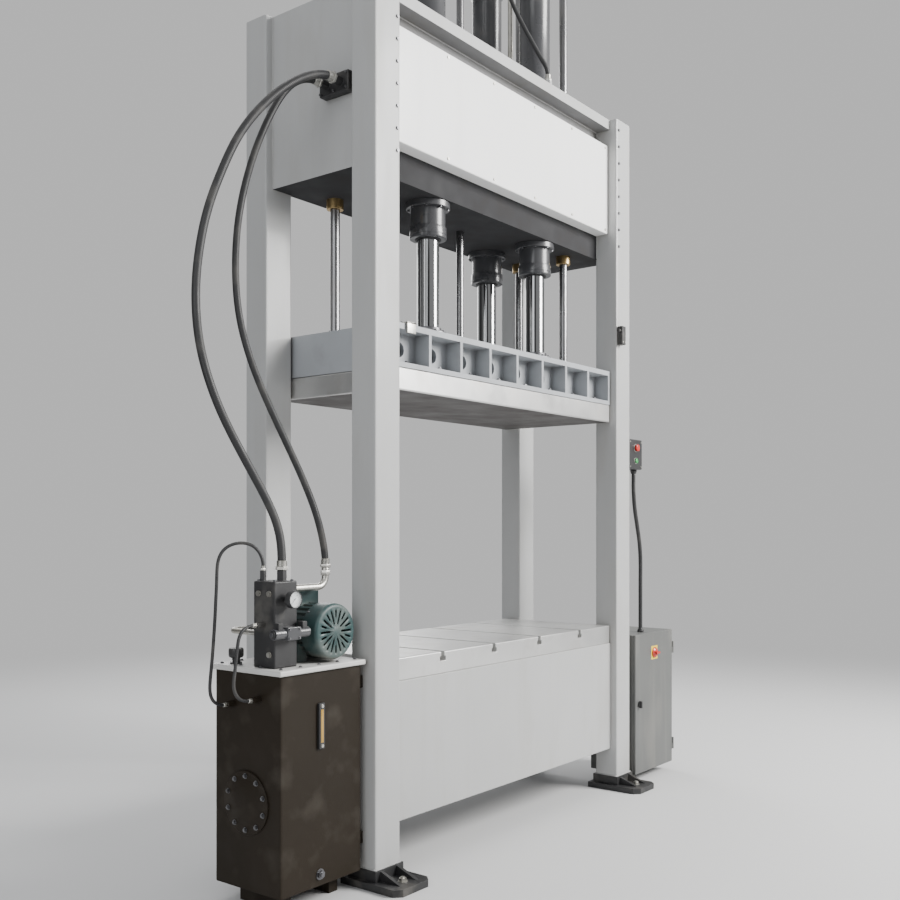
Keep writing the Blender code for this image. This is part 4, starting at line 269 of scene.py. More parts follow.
FINISHES = {
    finish.name: finish
    for finish in (
        Finish("frame_paint", (0.43, 0.433, 0.43), 0.42, coat=0.15, grime=(0.30, 0.27, 0.23), grime_share=0.22,
               occlusion_darkening=0.35, runs=0.10, mottle=0.06, mottle_size=0.6),
        Finish("cover_paint", (0.95, 0.95, 0.94), 0.38, coat=0.15, grime=DUST, grime_share=0.07, runs=0.03,
               mottle=0.03, mottle_size=0.6),
        # Near-black painted shade for the crown's underside and the front strip below the cover.
        Finish("crown_painted_shade", (0.040, 0.040, 0.042), 0.75, grime=(0.05, 0.045, 0.04), specular=0.12),
        # Dark painted shade for the die plate's downward faces.
        Finish("die_underside_painted_shade", (0.085, 0.080, 0.078), 0.60, grain=Grain.BRUSHED, grime=OIL, specular=0.2),
        Finish("crown_paint", (0.18, 0.18, 0.183), 0.50, grime=(0.15, 0.14, 0.12), occlusion_darkening=0.5, runs=0.2),
        Finish("black_paint", (0.022, 0.022, 0.023), 0.45, grime=DUST, grime_share=0.22, mottle=0.25),
        Finish("barrel_paint", (0.055, 0.056, 0.060), 0.30, coat=0.3, grime=DUST, grime_share=0.10, mottle=0.15),
        Finish("platen_paint", (0.365, 0.382, 0.402), 0.44, grime=OIL, grime_share=0.18, occlusion_darkening=0.5),
        Finish("ground_steel", (0.70, 0.70, 0.69), 0.34, 0.85, grain=Grain.BRUSHED, grain_size=0.0025,
               grain_depth=0.00006, along=(0.05, 1.0, 1.0), grime=(0.28, 0.24, 0.20), grime_share=0.30),
        Finish("rod_steel", (0.24, 0.24, 0.245), 0.27, 1.0, grain=Grain.BRUSHED, grain_size=0.02,
               grain_depth=0.000001, along=(1.0, 1.0, 0.1), grime=(0.2, 0.17, 0.12), grime_share=0.10),
        Finish("chrome", (0.29, 0.295, 0.30), 0.10, 1.0, grain=Grain.BRUSHED, grain_size=0.02,
               grain_depth=0.000002, along=(1.0, 1.0, 0.05), grime=(0.25, 0.21, 0.15), grime_share=0.08, mottle=0.04),
        Finish("bronze", (0.50, 0.36, 0.17), 0.34, 1.0, grain=Grain.BRUSHED, grain_depth=0.00004, grime=OIL),
        Finish("tank_paint", (0.020, 0.015, 0.010), 0.52, grime=DUST, grime_share=0.05, mottle=0.12, specular=0.16),
        Finish("lid_paint", (0.60, 0.595, 0.575), 0.42, grime=OIL, grime_share=0.12, occlusion_darkening=0.5),
        Finish("motor_paint", (0.025, 0.060, 0.060), 0.42, grain=Grain.CAST, grain_size=0.006, grime=DUST,
               grime_share=0.22, occlusion_darkening=0.3),
        Finish("zinc", (0.58, 0.57, 0.53), 0.36, 1.0, grain=Grain.FINE, grain_depth=0.00001,
               grime=(0.25, 0.21, 0.14), mottle=0.2, mottle_size=0.05),
        Finish("bolt_steel", (0.20, 0.20, 0.21), 0.38, 1.0, grain=Grain.FINE, grime=OIL, mottle=0.3,
               mottle_size=0.03),
        Finish("rubber", (0.022, 0.022, 0.023), 0.52, grain=Grain.WOVEN, grain_size=0.004, grain_depth=0.0003,
               grime=DUST, grime_share=0.15, mottle=0.2),
        Finish("cabinet_paint", (0.112, 0.115, 0.111), 0.46, grime=DUST, grime_share=0.15, runs=0.08, mottle=0.07),
        Finish("black_plastic", (0.025, 0.025, 0.026), 0.40, grain=Grain.FINE, grain_size=0.0015,
               grain_depth=0.0001, grime=DUST, grime_share=0.12),
        Finish("red_plastic", (0.55, 0.022, 0.014), 0.28, coat=0.3, grain=Grain.FINE, grime_share=0.08),
        Finish("green_plastic", (0.03, 0.30, 0.07), 0.28, coat=0.3, grain=Grain.FINE, grime_share=0.08),
        Finish("grey_plastic", (0.50, 0.51, 0.52), 0.42, grain=Grain.FINE, grime=DUST, grime_share=0.10),
        Finish("yellow_plate", (0.75, 0.55, 0.04), 0.40, grain=Grain.FINE, grime=DUST, grime_share=0.10),
        Finish("oil_glass", (0.42, 0.25, 0.05), 0.12, grain=Grain.FINE, grime=OIL, grime_share=0.15),
        Finish("dial_white", (0.82, 0.82, 0.79), 0.35, grain=Grain.FINE, grime=DUST, grime_share=0.08, mottle=0.03),
    )
}


class Palette:
    """The finished materials by name."""

    def __init__(self) -> None:
        """Build every finish, and the clear glass."""
        self.materials = {name: finish.build() for name, finish in FINISHES.items()}
        self.materials["glass"] = plain_material("clear_glass", Base_Color=(0.9, 0.95, 0.95, 1.0), Roughness=0.03,
                                                 Alpha=0.2)

    def __getitem__(self, name: str) -> bpy.types.Material:
        """Return the material of that name."""
        return self.materials[name]


@dataclass
class Workshop:
    """Makes pieces and settles them on the frame's bodies."""

    palette: Palette
    nodes: dict[str, bpy.types.Object]
    slots: set[str]
    made: list[str] = field(default_factory=list)

    def settle(self, piece: bpy.types.Object, finish: str, body: str = "frame",
               replaces: Iterable[str] = ()) -> bpy.types.Object:
        """Give a piece its finish and its body.

        Args:
            piece: The piece, with its place in its mesh.
            finish: The finish's name.
            body: The body that it rides on.
            replaces: The solids that it stands for.

        Returns:
            The piece.
        """
        piece.data.materials.clear()
        piece.data.materials.append(self.palette[finish])
        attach(piece, body)
        for node in replaces:
            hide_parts(node)
        self.made.append(piece.name)
        return piece

    def from_shape(self, name: str, shape: bmesh.types.BMesh, angle: float = 30.0) -> bpy.types.Object:
        """Make an object of a bmesh, smooth between its sharp edges.

        Args:
            name: The piece's name.
            shape: The bmesh, which is freed.
            angle: The angle in degrees from which an edge is sharp.

        Returns:
            The object.
        """
        mesh = bpy.data.meshes.new(name)
        shape.to_mesh(mesh)
        shape.free()
        mesh.shade_smooth()
        mesh.set_sharp_from_angle(angle=math.radians(angle))
        return link(name, mesh)

    def turned(self, name: str, profile: Profile, place: Point, finish: str, heading: Heading = Heading.UP,
               steps: int = 64, body: str = "frame", replaces: Iterable[str] = ()) -> bpy.types.Object:
        """Turn a profile of (radius, height) points into a smooth round piece and settle it.

        Args:
            name: The piece's name.
            profile: The outline from the axis or round to itself.
            place: Where the profile's zero lies.
            finish: The finish's name.
            heading: Which way its heights point.
            steps: How many sides.
            body: The body that it rides on.
            replaces: The solids that it stands for.

        Returns:
            The object.
        """
        shape = bmesh.new()
        add_turned(shape, profile, Matrix.Translation(place) @ heading.value, steps)
        return self.settle(self.from_shape(name, shape), finish, body, replaces)

    def boxes(self, name: str, finish: str, sizes: Iterable[tuple[Point, Point, float]],
              body: str = "frame") -> bpy.types.Object:
        """Make one piece of boxes.

        Args:
            name: The piece's name.
            finish: The finish's name.
            sizes: Each box's lowest and highest corner and the radius of its edges.
            body: The body that it rides on.

        Returns:
            The object.
        """
        shape = bmesh.new()
        for low, high, edge in sizes:
            add_box(shape, low, high, edge)
        return self.settle(self.from_shape(name, shape), finish, body)

    def zone(self, piece: bpy.types.Object, finish: str, inside: Callable[[Vector, Vector], bool]) -> None:
        """Give some faces of a piece another finish.

        Args:
            piece: The piece.
            finish: The finish's name.
            inside: Says of a face's centre and normal whether it is in the zone.
        """
        piece.data.materials.append(self.palette[finish])
        index = len(piece.data.materials) - 1
        for face in piece.data.polygons:
            if inside(face.center, face.normal):
                face.material_index = index

    def refined(self, node: str, finish: str, edge: float, body: str = "frame",
                levels: Sequence[float] = ()) -> bpy.types.Object:
        """Stand in for a flat-sided solid with a copy whose edges are softly rounded.

        Args:
            node: The solid's name.
            finish: The finish's name.
            edge: The radius of the rounding.
            body: The body that it rides on.
            levels: Heights at which its faces are divided.

        Returns:
            The new piece.
        """
        shape = bmesh.new()
        shape.from_mesh(self.nodes[node].data)
        shape.transform(self.nodes[node].matrix_world)
        bmesh.ops.remove_doubles(shape, verts=shape.verts, dist=0.00002)
        bmesh.ops.dissolve_limit(shape, angle_limit=math.radians(1.0), verts=shape.verts, edges=shape.edges)
        for level in levels:
            whole = shape.verts[:] + shape.edges[:] + shape.faces[:]
            bmesh.ops.bisect_plane(shape, geom=whole, plane_co=(0.0, 0.0, level), plane_no=(0.0, 0.0, 1.0))
        piece = self.from_shape(node + "_dressed", shape, 35.0)
        bevel = piece.modifiers.new("edges", "BEVEL")
        bevel.width = edge
        bevel.segments = 2
        bevel.limit_method = "ANGLE"
        bevel.angle_limit = math.radians(35.0)
        even = piece.modifiers.new("even_shading", "WEIGHTED_NORMAL")
        even.keep_sharp = True
        even.weight = 100
        return self.settle(bake(piece), finish, body, [node])


def add_turned(shape: bmesh.types.BMesh, profile: Profile, place: Matrix, steps: int) -> None:
    """Add a turned form to a bmesh.

    Args:
        shape: The bmesh.
        profile: Points of (radius, height).
        place: Where the form goes.
        steps: How many sides.
    """
    rings: list[list[bmesh.types.BMVert]] = []
    for radius, height in profile:
        count = 1 if radius < 1e-6 else steps
        ring = []
        for index in range(count):
            turn = 2 * math.pi * index / steps
            ring.append(shape.verts.new(place @ Vector((radius * math.cos(turn), radius * math.sin(turn), height))))
        rings.append(ring)
    faces = []
    for first, second in zip(rings, rings[1:]):
        for index in range(steps):
            following = (index + 1) % steps
            corners = [first[index % len(first)], second[index % len(second)],
                       second[following % len(second)], first[following % len(first)]]
            unique = list(dict.fromkeys(corners))
            if len(unique) > 2:
                faces.append(shape.faces.new(unique))
    bmesh.ops.recalc_face_normals(shape, faces=faces)


def add_box(shape: bmesh.types.BMesh, low: Point, high: Point, edge: float) -> None:
    """Add a box with rounded edges to a bmesh.

    Args:
        shape: The bmesh.
        low: Its lowest corner.
        high: Its highest corner.
        edge: The radius of its edges.
    """
    low_corner = Vector(low)
    size = Vector(high) - low_corner
    matrix = Matrix.Translation(low_corner + size / 2) @ Matrix.Diagonal((*size, 1.0))
    made = bmesh.ops.create_cube(shape, size=1.0, matrix=matrix)
    if edge > 0.0:
        edges = list(dict.fromkeys(e for vert in made["verts"] for e in vert.link_edges))
        bmesh.ops.bevel(shape, geom=edges, offset=edge, segments=2, profile=0.7, affect="EDGES")


def add_tube(shape: bmesh.types.BMesh, points: Sequence[Vector], radii: Sequence[float], sides: int = 24) -> None:
    """Add a closed round tube along points to a bmesh.

    Args:
        shape: The bmesh.
        points: The centre line.
        radii: The radius at each point.
        sides: How many sides.
    """
    side = Vector((0.0, 0.0, 1.0))
    first_way = (points[1] - points[0]).normalized()
    if abs(first_way.dot(side)) > 0.9:
        side = Vector((0.0, 1.0, 0.0))
    side = (side - first_way * side.dot(first_way)).normalized()
    rings = []
    for index, (point, radius) in enumerate(zip(points, radii)):
        before = points[max(index - 1, 0)]
        after = points[min(index + 1, len(points) - 1)]
        way = (after - before).normalized()
        side = (side - way * side.dot(way)).normalized()
        across = way.cross(side)
        rings.append([
            shape.verts.new(point + (side * math.cos(turn) + across * math.sin(turn)) * radius)
            for turn in (2 * math.pi * number / sides for number in range(sides))
        ])
    faces = [shape.faces.new(list(reversed(rings[0]))), shape.faces.new(rings[-1])]
    for first, second in zip(rings, rings[1:]):
        for index in range(sides):
            following = (index + 1) % sides
            faces.append(shape.faces.new((first[index], first[following], second[following], second[index])))
    bmesh.ops.recalc_face_normals(shape, faces=faces)


def bake(piece: bpy.types.Object) -> bpy.types.Object:
    """Turn a piece with modifiers into a plain mesh.

    Args:
        piece: The piece.

    Returns:
        The same object, with its modifiers applied and removed.
    """
    bpy.context.view_layer.update()
    evaluated = piece.evaluated_get(bpy.context.evaluated_depsgraph_get())
    mesh = bpy.data.meshes.new_from_object(evaluated)
    mesh.name = piece.name
    piece.modifiers.clear()
    piece.data = mesh
    return piece


def smooth_line(route: Sequence[Point], count: int) -> list[Vector]:
    """Run an even smooth line through a route.

    Args:
        route: The route's own points.
        count: How many points the line gets.

    Returns:
        The line's points.
    """
    points = [Vector(point) for point in route]
    inner = [points[0].lerp(points[1], 0.5)] + points[1:-1] + [points[-1].lerp(points[-2], 0.5)]
    padded = [points[0]] + inner + [points[-1]]
    fine: list[Vector] = []
    for index in range(1, len(padded) - 2):
        before, start, end, after = padded[index - 1:index + 3]
        for step in range(count):
            share = step / count
            fine.append(0.5 * (2 * start + (end - before) * share
                               + (2 * before - 5 * start + 4 * end - after) * share ** 2
                               + (3 * start - before - 3 * end + after) * share ** 3))
    fine.append(inner[-1])
    reach = [0.0]
    for first, second in zip(fine, fine[1:]):
        reach.append(reach[-1] + (second - first).length)
    line = [points[0]]
    index = 0
    spans = count - 3
    for number in range(spans + 1):
        target = reach[-1] * number / spans
        while index < len(reach) - 2 and reach[index + 1] < target:
            index += 1
        share = (target - reach[index]) / (reach[index + 1] - reach[index])
        line.append(fine[index].lerp(fine[index + 1], share))
    line.append(points[-1])
    return line


class NodeWork:
    """A Geometry Nodes tree made in the script, with named inputs."""

    def __init__(self, name: str) -> None:
        """Start a tree with a geometry input and output.

        Args:
            name: The tree's name.
        """
        self.tree = bpy.data.node_groups.new(name, "GeometryNodeTree")
        self.tree.interface.new_socket("Geometry", in_out="INPUT", socket_type="NodeSocketGeometry")
        self.tree.interface.new_socket("Geometry", in_out="OUTPUT", socket_type="NodeSocketGeometry")
        self.source = self.tree.nodes.new("NodeGroupInput")
        self.result = self.tree.nodes.new("NodeGroupOutput")

    def size(self, name: str, kind: str, value: float | int | Point) -> bpy.types.NodeSocket:
        """Add a named input.

        Args:
            name: The input's name.
            kind: Float, Int, Vector or Material.
            value: Its default.

        Returns:
            The socket inside the tree.
        """
        socket = self.tree.interface.new_socket(name, in_out="INPUT", socket_type="NodeSocket" + kind)
        if kind != "Material":
            socket.default_value = value
        return self.source.outputs[name]

    def add(self, kind: str, links: dict[int | str, object] | None = None,
            **settings: object) -> bpy.types.Node:
        """Add a node to the tree, as add_node does."""
        return add_node(self.tree, kind, links, **settings)

    def scaled(self, value: bpy.types.NodeSocket, share: float) -> bpy.types.NodeSocket:
        """Return a value times a share."""
        return self.add("ShaderNodeMath", {0: value, 1: share}, operation="MULTIPLY").outputs[0]

    def disc(self, sides: int, radius: bpy.types.NodeSocket, height: bpy.types.NodeSocket) -> bpy.types.Node:
        """Return a flat-ended cylinder."""
        return self.add("GeometryNodeMeshCylinder", {"Vertices": sides, "Radius": radius, "Depth": height},
                        fill_type="NGON")

    def raised(self, solid: bpy.types.Node, height: bpy.types.NodeSocket) -> bpy.types.Node:
        """Return a solid lifted by a height."""
        lift = self.add("ShaderNodeCombineXYZ", {"Z": height})
        return self.add("GeometryNodeTransform", {"Geometry": solid.outputs["Mesh"], "Translation": lift.outputs[0]})

    def close(self, geometry: bpy.types.NodeSocket) -> bpy.types.NodeTree:
        """Realise the instances, set the material and end the tree.

        Args:
            geometry: The last geometry.

        Returns:
            The tree.
        """
        real = self.add("GeometryNodeRealizeInstances", {"Geometry": geometry})
        material = self.size("Finish", "Material", 0)
        painted = self.add("GeometryNodeSetMaterial", {"Geometry": real.outputs[0], "Material": material})
        self.tree.links.new(painted.outputs[0], self.result.inputs[0])
        return self.tree


class Head(Enum):
    """The kinds of fastener."""

    HEX = 6
    CAP = 16


@dataclass
class Fasteners:
    """Screws, nuts and washers that are set at points, and weld beads that follow lines."""

    shop: Workshop
    seed: int = 7

    def __post_init__(self) -> None:
        """Build the trees."""
        self.heads = {head: self._head_tree(head) for head in Head}
        self.bead = self._bead_tree()

    def _head_tree(self, head: Head) -> bpy.types.NodeTree:
        """Build the tree that sets a screw head with a washer at each point.

        Args:
            head: Hexagon or round cap.

        Returns:
            The tree.
        """
        work = NodeWork(f"{head.name.lower()}_heads")
        radius = work.size("Radius", "Float", 0.01)
        height = work.size("Height", "Float", 0.008)
        turn = work.size("Turn", "Vector", (0.0, 0.0, 0.0))
        seed = work.size("Seed", "Int", self.seed)
        is_hex = head is Head.HEX
        washer = work.disc(16, work.scaled(radius, 1.3 if is_hex else 1.12), height)
        flat = work.add("GeometryNodeTransform", {"Geometry": washer.outputs["Mesh"], "Scale": (1.0, 1.0, 0.3)})
        raised = work.raised(work.disc(head.value, radius, height), work.scaled(height, 0.5))
        tip = work.disc(12 if is_hex else 6, work.scaled(radius, 0.55), height)
        tip_raised = work.raised(tip, work.scaled(height, 0.85 if is_hex else 0.52))
        both = work.add("GeometryNodeJoinGeometry")
        for part in (tip_raised, raised, flat):
            work.tree.links.new(part.outputs[0], both.inputs[0])
        spin = work.add("FunctionNodeRandomValue", {"Seed": seed}, data_type="FLOAT")
        spin.inputs[3].default_value = 2 * math.pi
        angle = work.add("ShaderNodeCombineXYZ", {"Z": spin.outputs[1]})
        points = work.add("GeometryNodeMeshToPoints", {"Mesh": work.source.outputs["Geometry"]})
        placed = work.add("GeometryNodeInstanceOnPoints", {"Points": points.outputs[0], "Instance": both.outputs[0],
                                                           "Rotation": turn})
        turned = work.add("GeometryNodeRotateInstances", {"Instances": placed.outputs[0],
                                                          "Rotation": angle.outputs[0]})
        return work.close(turned.outputs[0])

    def _bead_tree(self) -> bpy.types.NodeTree:
        """Build the tree that lays overlapping drops of weld along edges.

        Returns:
            The tree.
        """
        work = NodeWork("weld_beads")
        width = work.size("Width", "Float", 0.006)
        step = work.size("Step", "Float", 0.005)
        seed = work.size("Seed", "Int", self.seed)
        curve = work.add("GeometryNodeMeshToCurve", {"Mesh": work.source.outputs["Geometry"]})
        even = work.add("GeometryNodeResampleCurve", {"Curve": curve.outputs[0]}, mode="LENGTH")
        work.tree.links.new(step, next(socket for socket in even.inputs if socket.name == "Length"))
        drop = work.add("GeometryNodeMeshIcoSphere", {"Radius": width, "Subdivisions": 1})
        jitter = work.add("FunctionNodeRandomValue", {"Seed": seed}, data_type="FLOAT_VECTOR")
        jitter.inputs[0].default_value = (0.8, 0.8, 0.8)
        jitter.inputs[1].default_value = (1.15, 1.15, 1.15)
        spin = work.add("FunctionNodeRandomValue", {"Seed": seed}, data_type="FLOAT_VECTOR")
        spin.inputs[1].default_value = (3.0, 3.0, 3.0)
        placed = work.add("GeometryNodeInstanceOnPoints", {"Points": even.outputs[0], "Instance": drop.outputs[0],
                                                           "Rotation": spin.outputs[0], "Scale": jitter.outputs[0]})
        return work.close(placed.outputs[0])

    def _grow(self, name: str, mesh: bpy.types.Mesh, tree: bpy.types.NodeTree, finish: str, body: str,
              **sizes: float | Point) -> bpy.types.Object:
        """Run a tree on a mesh and settle the result.

        Args:
            name: The piece's name.
            mesh: The points or lines.
            tree: The tree.
            finish: The finish's name.
            body: The body that it rides on.
            sizes: The tree's inputs by name.

        Returns:
            The plain piece.
        """
        piece = link(name, mesh)
        modifier = piece.modifiers.new("repeat", "NODES")
        modifier.node_group = tree
        for item in tree.interface.items_tree:
            if item.item_type == "SOCKET" and item.in_out == "INPUT" and item.name in sizes:
                modifier[item.identifier] = sizes[item.name]
            if item.item_type == "SOCKET" and item.name == "Finish":
                modifier[item.identifier] = self.shop.palette[finish]
        return self.shop.settle(bake(piece), finish, body)

    def heads_at(self, name: str, points: Sequence[Point], heading: Heading, radius: float, height: float,
                 head: Head = Head.CAP, body: str = "frame", finish: str = "bolt_steel") -> bpy.types.Object:
        """Set a fastener at each point.

        Args:
            name: The piece's name.
            points: Where they sit.
            heading: Which way they point.
            radius: The head's radius.
            height: The head's height.
            head: The kind of head.
            body: The body that they ride on.
            finish: The finish's name.

        Returns:
            The piece.
        """
        mesh = bpy.data.meshes.new(name)
        mesh.from_pydata([tuple(point) for point in points], [], [])
        turn = tuple(heading.value.to_euler())
        return self._grow(name, mesh, self.heads[head], finish, body, Radius=radius, Height=height, Turn=turn)

    def ring(self, centre: Point, radius: float, count: int, heading: Heading, phase: float = 0.0) -> list[Point]:
        """Space points evenly round a centre, in the plane that the heading stands on.

        Args:
            centre: The ring's centre.
            radius: The ring's radius.
            count: How many points.
            heading: Which way the plane faces.
            phase: The first one's angle.

        Returns:
            The points.
        """
        places = []
        for number in range(count):
            turn = 2 * math.pi * number / count + phase
            spot = heading.value @ Vector((radius * math.cos(turn), radius * math.sin(turn), 0.0))
            places.append(tuple(Vector(centre) + spot))
        return places

    def ring_of(self, name: str, centre: Point, reach: float, count: int, heading: Heading, radius: float,
                height: float, phase: float = 0.0, **options: object) -> bpy.types.Object:
        """Set fasteners evenly round a centre.

        Args:
            name: The piece's name.
            centre: The ring's centre.
            reach: The ring's radius.
            count: How many fasteners.
            heading: Which way they point.
            radius: The heads' radius.
            height: The heads' height.
            phase: The first one's angle.
            options: What else heads_at takes.

        Returns:
            The piece.
        """
        places = self.ring(centre, reach, count, heading, phase)
        return self.heads_at(name, places, heading, radius, height, **options)

    def welds(self, name: str, lines: Sequence[Sequence[Point]], width: float, finish: str,
              body: str = "frame") -> bpy.types.Object:
        """Lay weld beads along lines.

        Args:
            name: The piece's name.
            lines: Each line's points.
            width: The bead's half width.
            finish: The finish's name.
            body: The body that they ride on.

        Returns:
            The piece.
        """
        points: list[Point] = []
        edges: list[tuple[int, int]] = []
        for line in lines:
            start = len(points)
            points.extend(tuple(point) for point in line)
            edges.extend((start + index, start + index + 1) for index in range(len(line) - 1))
        mesh = bpy.data.meshes.new(name)
        mesh.from_pydata(points, edges, [])
        return self._grow(name, mesh, self.bead, finish, body, Width=width, Step=width * 1.1)


@dataclass
class Hose:
    """One hose's route, size and facts."""

    name: str
    route: list[Point]
    radius: float
    rounds: int
    far_end: str = "object"
    stiffness: str = "stiff"
    lay: str = "loose"
    give: float = 0.06

    def line(self, count: int) -> list[Vector]:
        """Return the hose's even line, straight at both fittings and without tight bends.

        Args:
            count: How many points it gets.

        Returns:
            The points.
        """
        line = smooth_line(self.route, count)
        step = (line[count // 2] - line[count // 2 - 1]).length
        held = []
        for end, after in ((self.route[0], self.route[1]), (self.route[-1], self.route[-2])):
            way = Vector(after) - Vector(end)
            held.append([Vector(end) + way.normalized() * step * i for i in range(max(2, round(way.length / step)))])
        first, last = len(held[0]), count - len(held[1])
        line = held[0] + line[first:last] + held[1][::-1]
        for _ in range(self.rounds):
            line = line[:first] + [
                line[i] - (line[i - 2] - line[i - 1] * 4 + line[i] * 6 - line[i + 1] * 4 + line[i + 2]) * self.give
                for i in range(first, last)] + line[last:]
        return line


@dataclass
class Hoses:
    """The five hoses with their crimped ferrules."""

    shop: Workshop
    lead: float = 0.045
    ferrule_length: float = 0.024
    hex_length: float = 0.014
    fine_points: int = 118
    path_step: int = 3

    def hoses(self) -> list[Hose]:
        """Lay out the hoses, whose routes run between the solids' fittings.

        Returns:
            The hoses.
        """
        lead = self.lead
        port = (-1.1456, -0.205, 3.375)
        rear = (-1.1456, -0.125, 3.375)
        main = (-1.4664, -0.235, 1.3229)
        pilot = (-1.5336, -0.2014, 1.3229)
        side = (-1.6003, -0.235, 1.1151)
        transfer = (-1.225, -0.235, 1.3256)
        left_port = (-1.6203, -0.09, 0.80)
        low_port = (-1.6203, -0.235, 0.83)
        foot = (0.36, -0.31, 3.8403)
        head = (0.3372, -0.16, 4.40)
        return [
            Hose("main_hose_outer", [
                port, (port[0] - lead, port[1], port[2]),
                (-1.31, -0.175, 3.325), (-1.43, -0.125, 3.215), (-1.54, -0.080, 3.060), (-1.61, -0.045, 2.890),
                (-1.665, -0.015, 2.700), (-1.698, 0.000, 2.450), (-1.693, -0.015, 2.210), (-1.650, -0.060, 1.990),
                (-1.580, -0.115, 1.800), (-1.510, -0.180, 1.620), (-1.470, -0.222, 1.480),
                (main[0], main[1], main[2] + lead), main], 0.017, 300),
            Hose("main_hose_inner", [
                rear, (-1.1856, rear[1], rear[2]), (-1.2279, -0.121, 3.368), (-1.2656, -0.114, 3.347),
                (-1.3010, -0.104, 3.312), (-1.3350, -0.092, 3.264), (-1.390, -0.067, 3.150), (-1.445, -0.030, 2.970),
                (-1.485, -0.005, 2.760), (-1.500, 0.000, 2.540), (-1.485, -0.010, 2.330), (-1.440, -0.045, 2.130),
                (-1.375, -0.100, 1.930), (-1.305, -0.160, 1.730), (-1.250, -0.210, 1.540),
                (transfer[0], transfer[1], transfer[2] + lead), transfer], 0.0145, 400),
            Hose("pilot_hose_outer", [
                pilot, (pilot[0], pilot[1], 1.355), (-1.5433, -0.1950, 1.3925), (-1.5697, -0.1776, 1.420),
                (-1.6058, -0.1537, 1.430), (-1.6419, -0.1299, 1.420), (-1.6683, -0.1124, 1.3925),
                (-1.678, -0.106, 1.355), (-1.680, -0.099, 1.250), (-1.684, -0.094, 1.120), (-1.692, -0.091, 1.000),
                (-1.700, -0.090, 0.920), (-1.703, -0.090, 0.868), (-1.6952, -0.090, 0.829),
                (-1.674, -0.090, 0.8078), (-1.645, left_port[1], left_port[2]), left_port], 0.0065, 1200),
            Hose("pilot_hose_inner", [
                side, (-1.622, side[1], side[2]), (-1.656, -0.235, 1.106), (-1.681, -0.235, 1.081),
                (-1.690, -0.235, 1.047), (-1.697, -0.235, 1.000), (-1.704, -0.235, 0.950), (-1.710, -0.235, 0.900),
                (-1.7006, -0.235, 0.865), (-1.675, -0.235, 0.8394), (-1.640, low_port[1], low_port[2]),
                low_port], 0.0065, 1000),
            Hose("jumper_hose", [
                foot, (foot[0], foot[1], 3.872), (0.357, -0.3075, 3.895), (0.344, -0.299, 3.926),
                (0.322, -0.281, 3.970), (0.291, -0.254, 4.038), (0.258, -0.225, 4.112), (0.226, -0.197, 4.190),
                (0.2065, -0.178, 4.251), (0.198, -0.166, 4.293), (0.2123, -0.161, 4.3465), (0.2515, -0.160, 4.3857),
                (0.305, head[1], head[2]), head], 0.0115, 300),
        ]

    def build(self) -> None:
        """Make each hose and its two ferrules."""
        for hose in self.hoses():
            shape = bmesh.new()
            fine = hose.line(self.fine_points)
            add_tube(shape, fine, [hose.radius] * len(fine), 20)
            piece = self.shop.settle(self.shop.from_shape(hose.name + "_cover", shape, 60.0), "rubber",
                                     replaces=[hose.name])
            for label, first, second in (("start", fine[0], fine[1]), ("end", fine[-1], fine[-2])):
                self._ferrule(f"{hose.name}_{label}", first, second, hose.radius)

    def _ferrule(self, name: str, end: Vector, inner: Vector, radius: float) -> bpy.types.Object:
        """Make a crimped ferrule with its nut at one end of a hose.

        Args:
            name: The piece's name.
            end: The hose's end.
            inner: The next point of the hose.
            radius: The hose's radius.

        Returns:
            The ferrule.
        """
        way = (inner - end).normalized()
        place = Matrix.Translation(end) @ way.to_track_quat("Z", "Y").to_matrix().to_4x4()
        shape = bmesh.new()
        wide = radius * 1.22
        nut = self.hex_length * min(1.0, radius / 0.012)
        length = nut + self.ferrule_length * min(1.0, radius / 0.014)
        add_turned(shape, [(0.0, 0.0), (wide * 1.18, 0.0), (wide * 1.25, 0.002), (wide * 1.25, nut - 0.002),
                           (wide * 1.18, nut), (0.0, nut)], place, 6)
        bands = 5
        profile = [(radius * 0.9, nut * 0.9), (wide, nut + 0.001)]
        for band in range(bands):
            low = nut + 0.002 + (length - nut - 0.004) * band / bands
            high = nut + 0.002 + (length - nut - 0.004) * (band + 0.75) / bands
            profile += [(wide, low), (wide, high), (wide * 0.94, high + 0.0008),
                        (wide * 0.94, high + 0.0016)]
        profile += [(wide, length - 0.001), (radius * 1.02, length), (radius * 0.9, length)]
        add_turned(shape, profile, place, 28)
        return self.shop.settle(self.shop.from_shape(name + "_ferrule", shape), "zinc")


@dataclass
class SubAssembly:
    """What every sub-assembly shares."""

    shop: Workshop
    screws: Fasteners


def rounded_rod(radius: float, low: float, high: float, edge: float = 0.002) -> list[tuple[float, float]]:
    """Return the profile of a solid rod with rounded ends."""
    return [(0.0, low), (radius - edge, low), (radius - edge * 0.3, low + edge * 0.3), (radius, low + edge),
            (radius, high - edge), (radius - edge * 0.3, high - edge * 0.3), (radius - edge, high), (0.0, high)]


def grid(span_x: float, span_y: float) -> list[tuple[str, float, float]]:
    """Return the label and place of four pieces that stand in two rows."""
    return [(f"{row}_{side}", SIDES[side] * span_x / 2, ROWS[row] * span_y / 2) for row, side in CORNERS]


def span(low: float, high: float, count: int) -> list[float]:
    """Return evenly spaced values from low to high."""
    return [low + (high - low) * index / (count - 1) for index in range(count)]


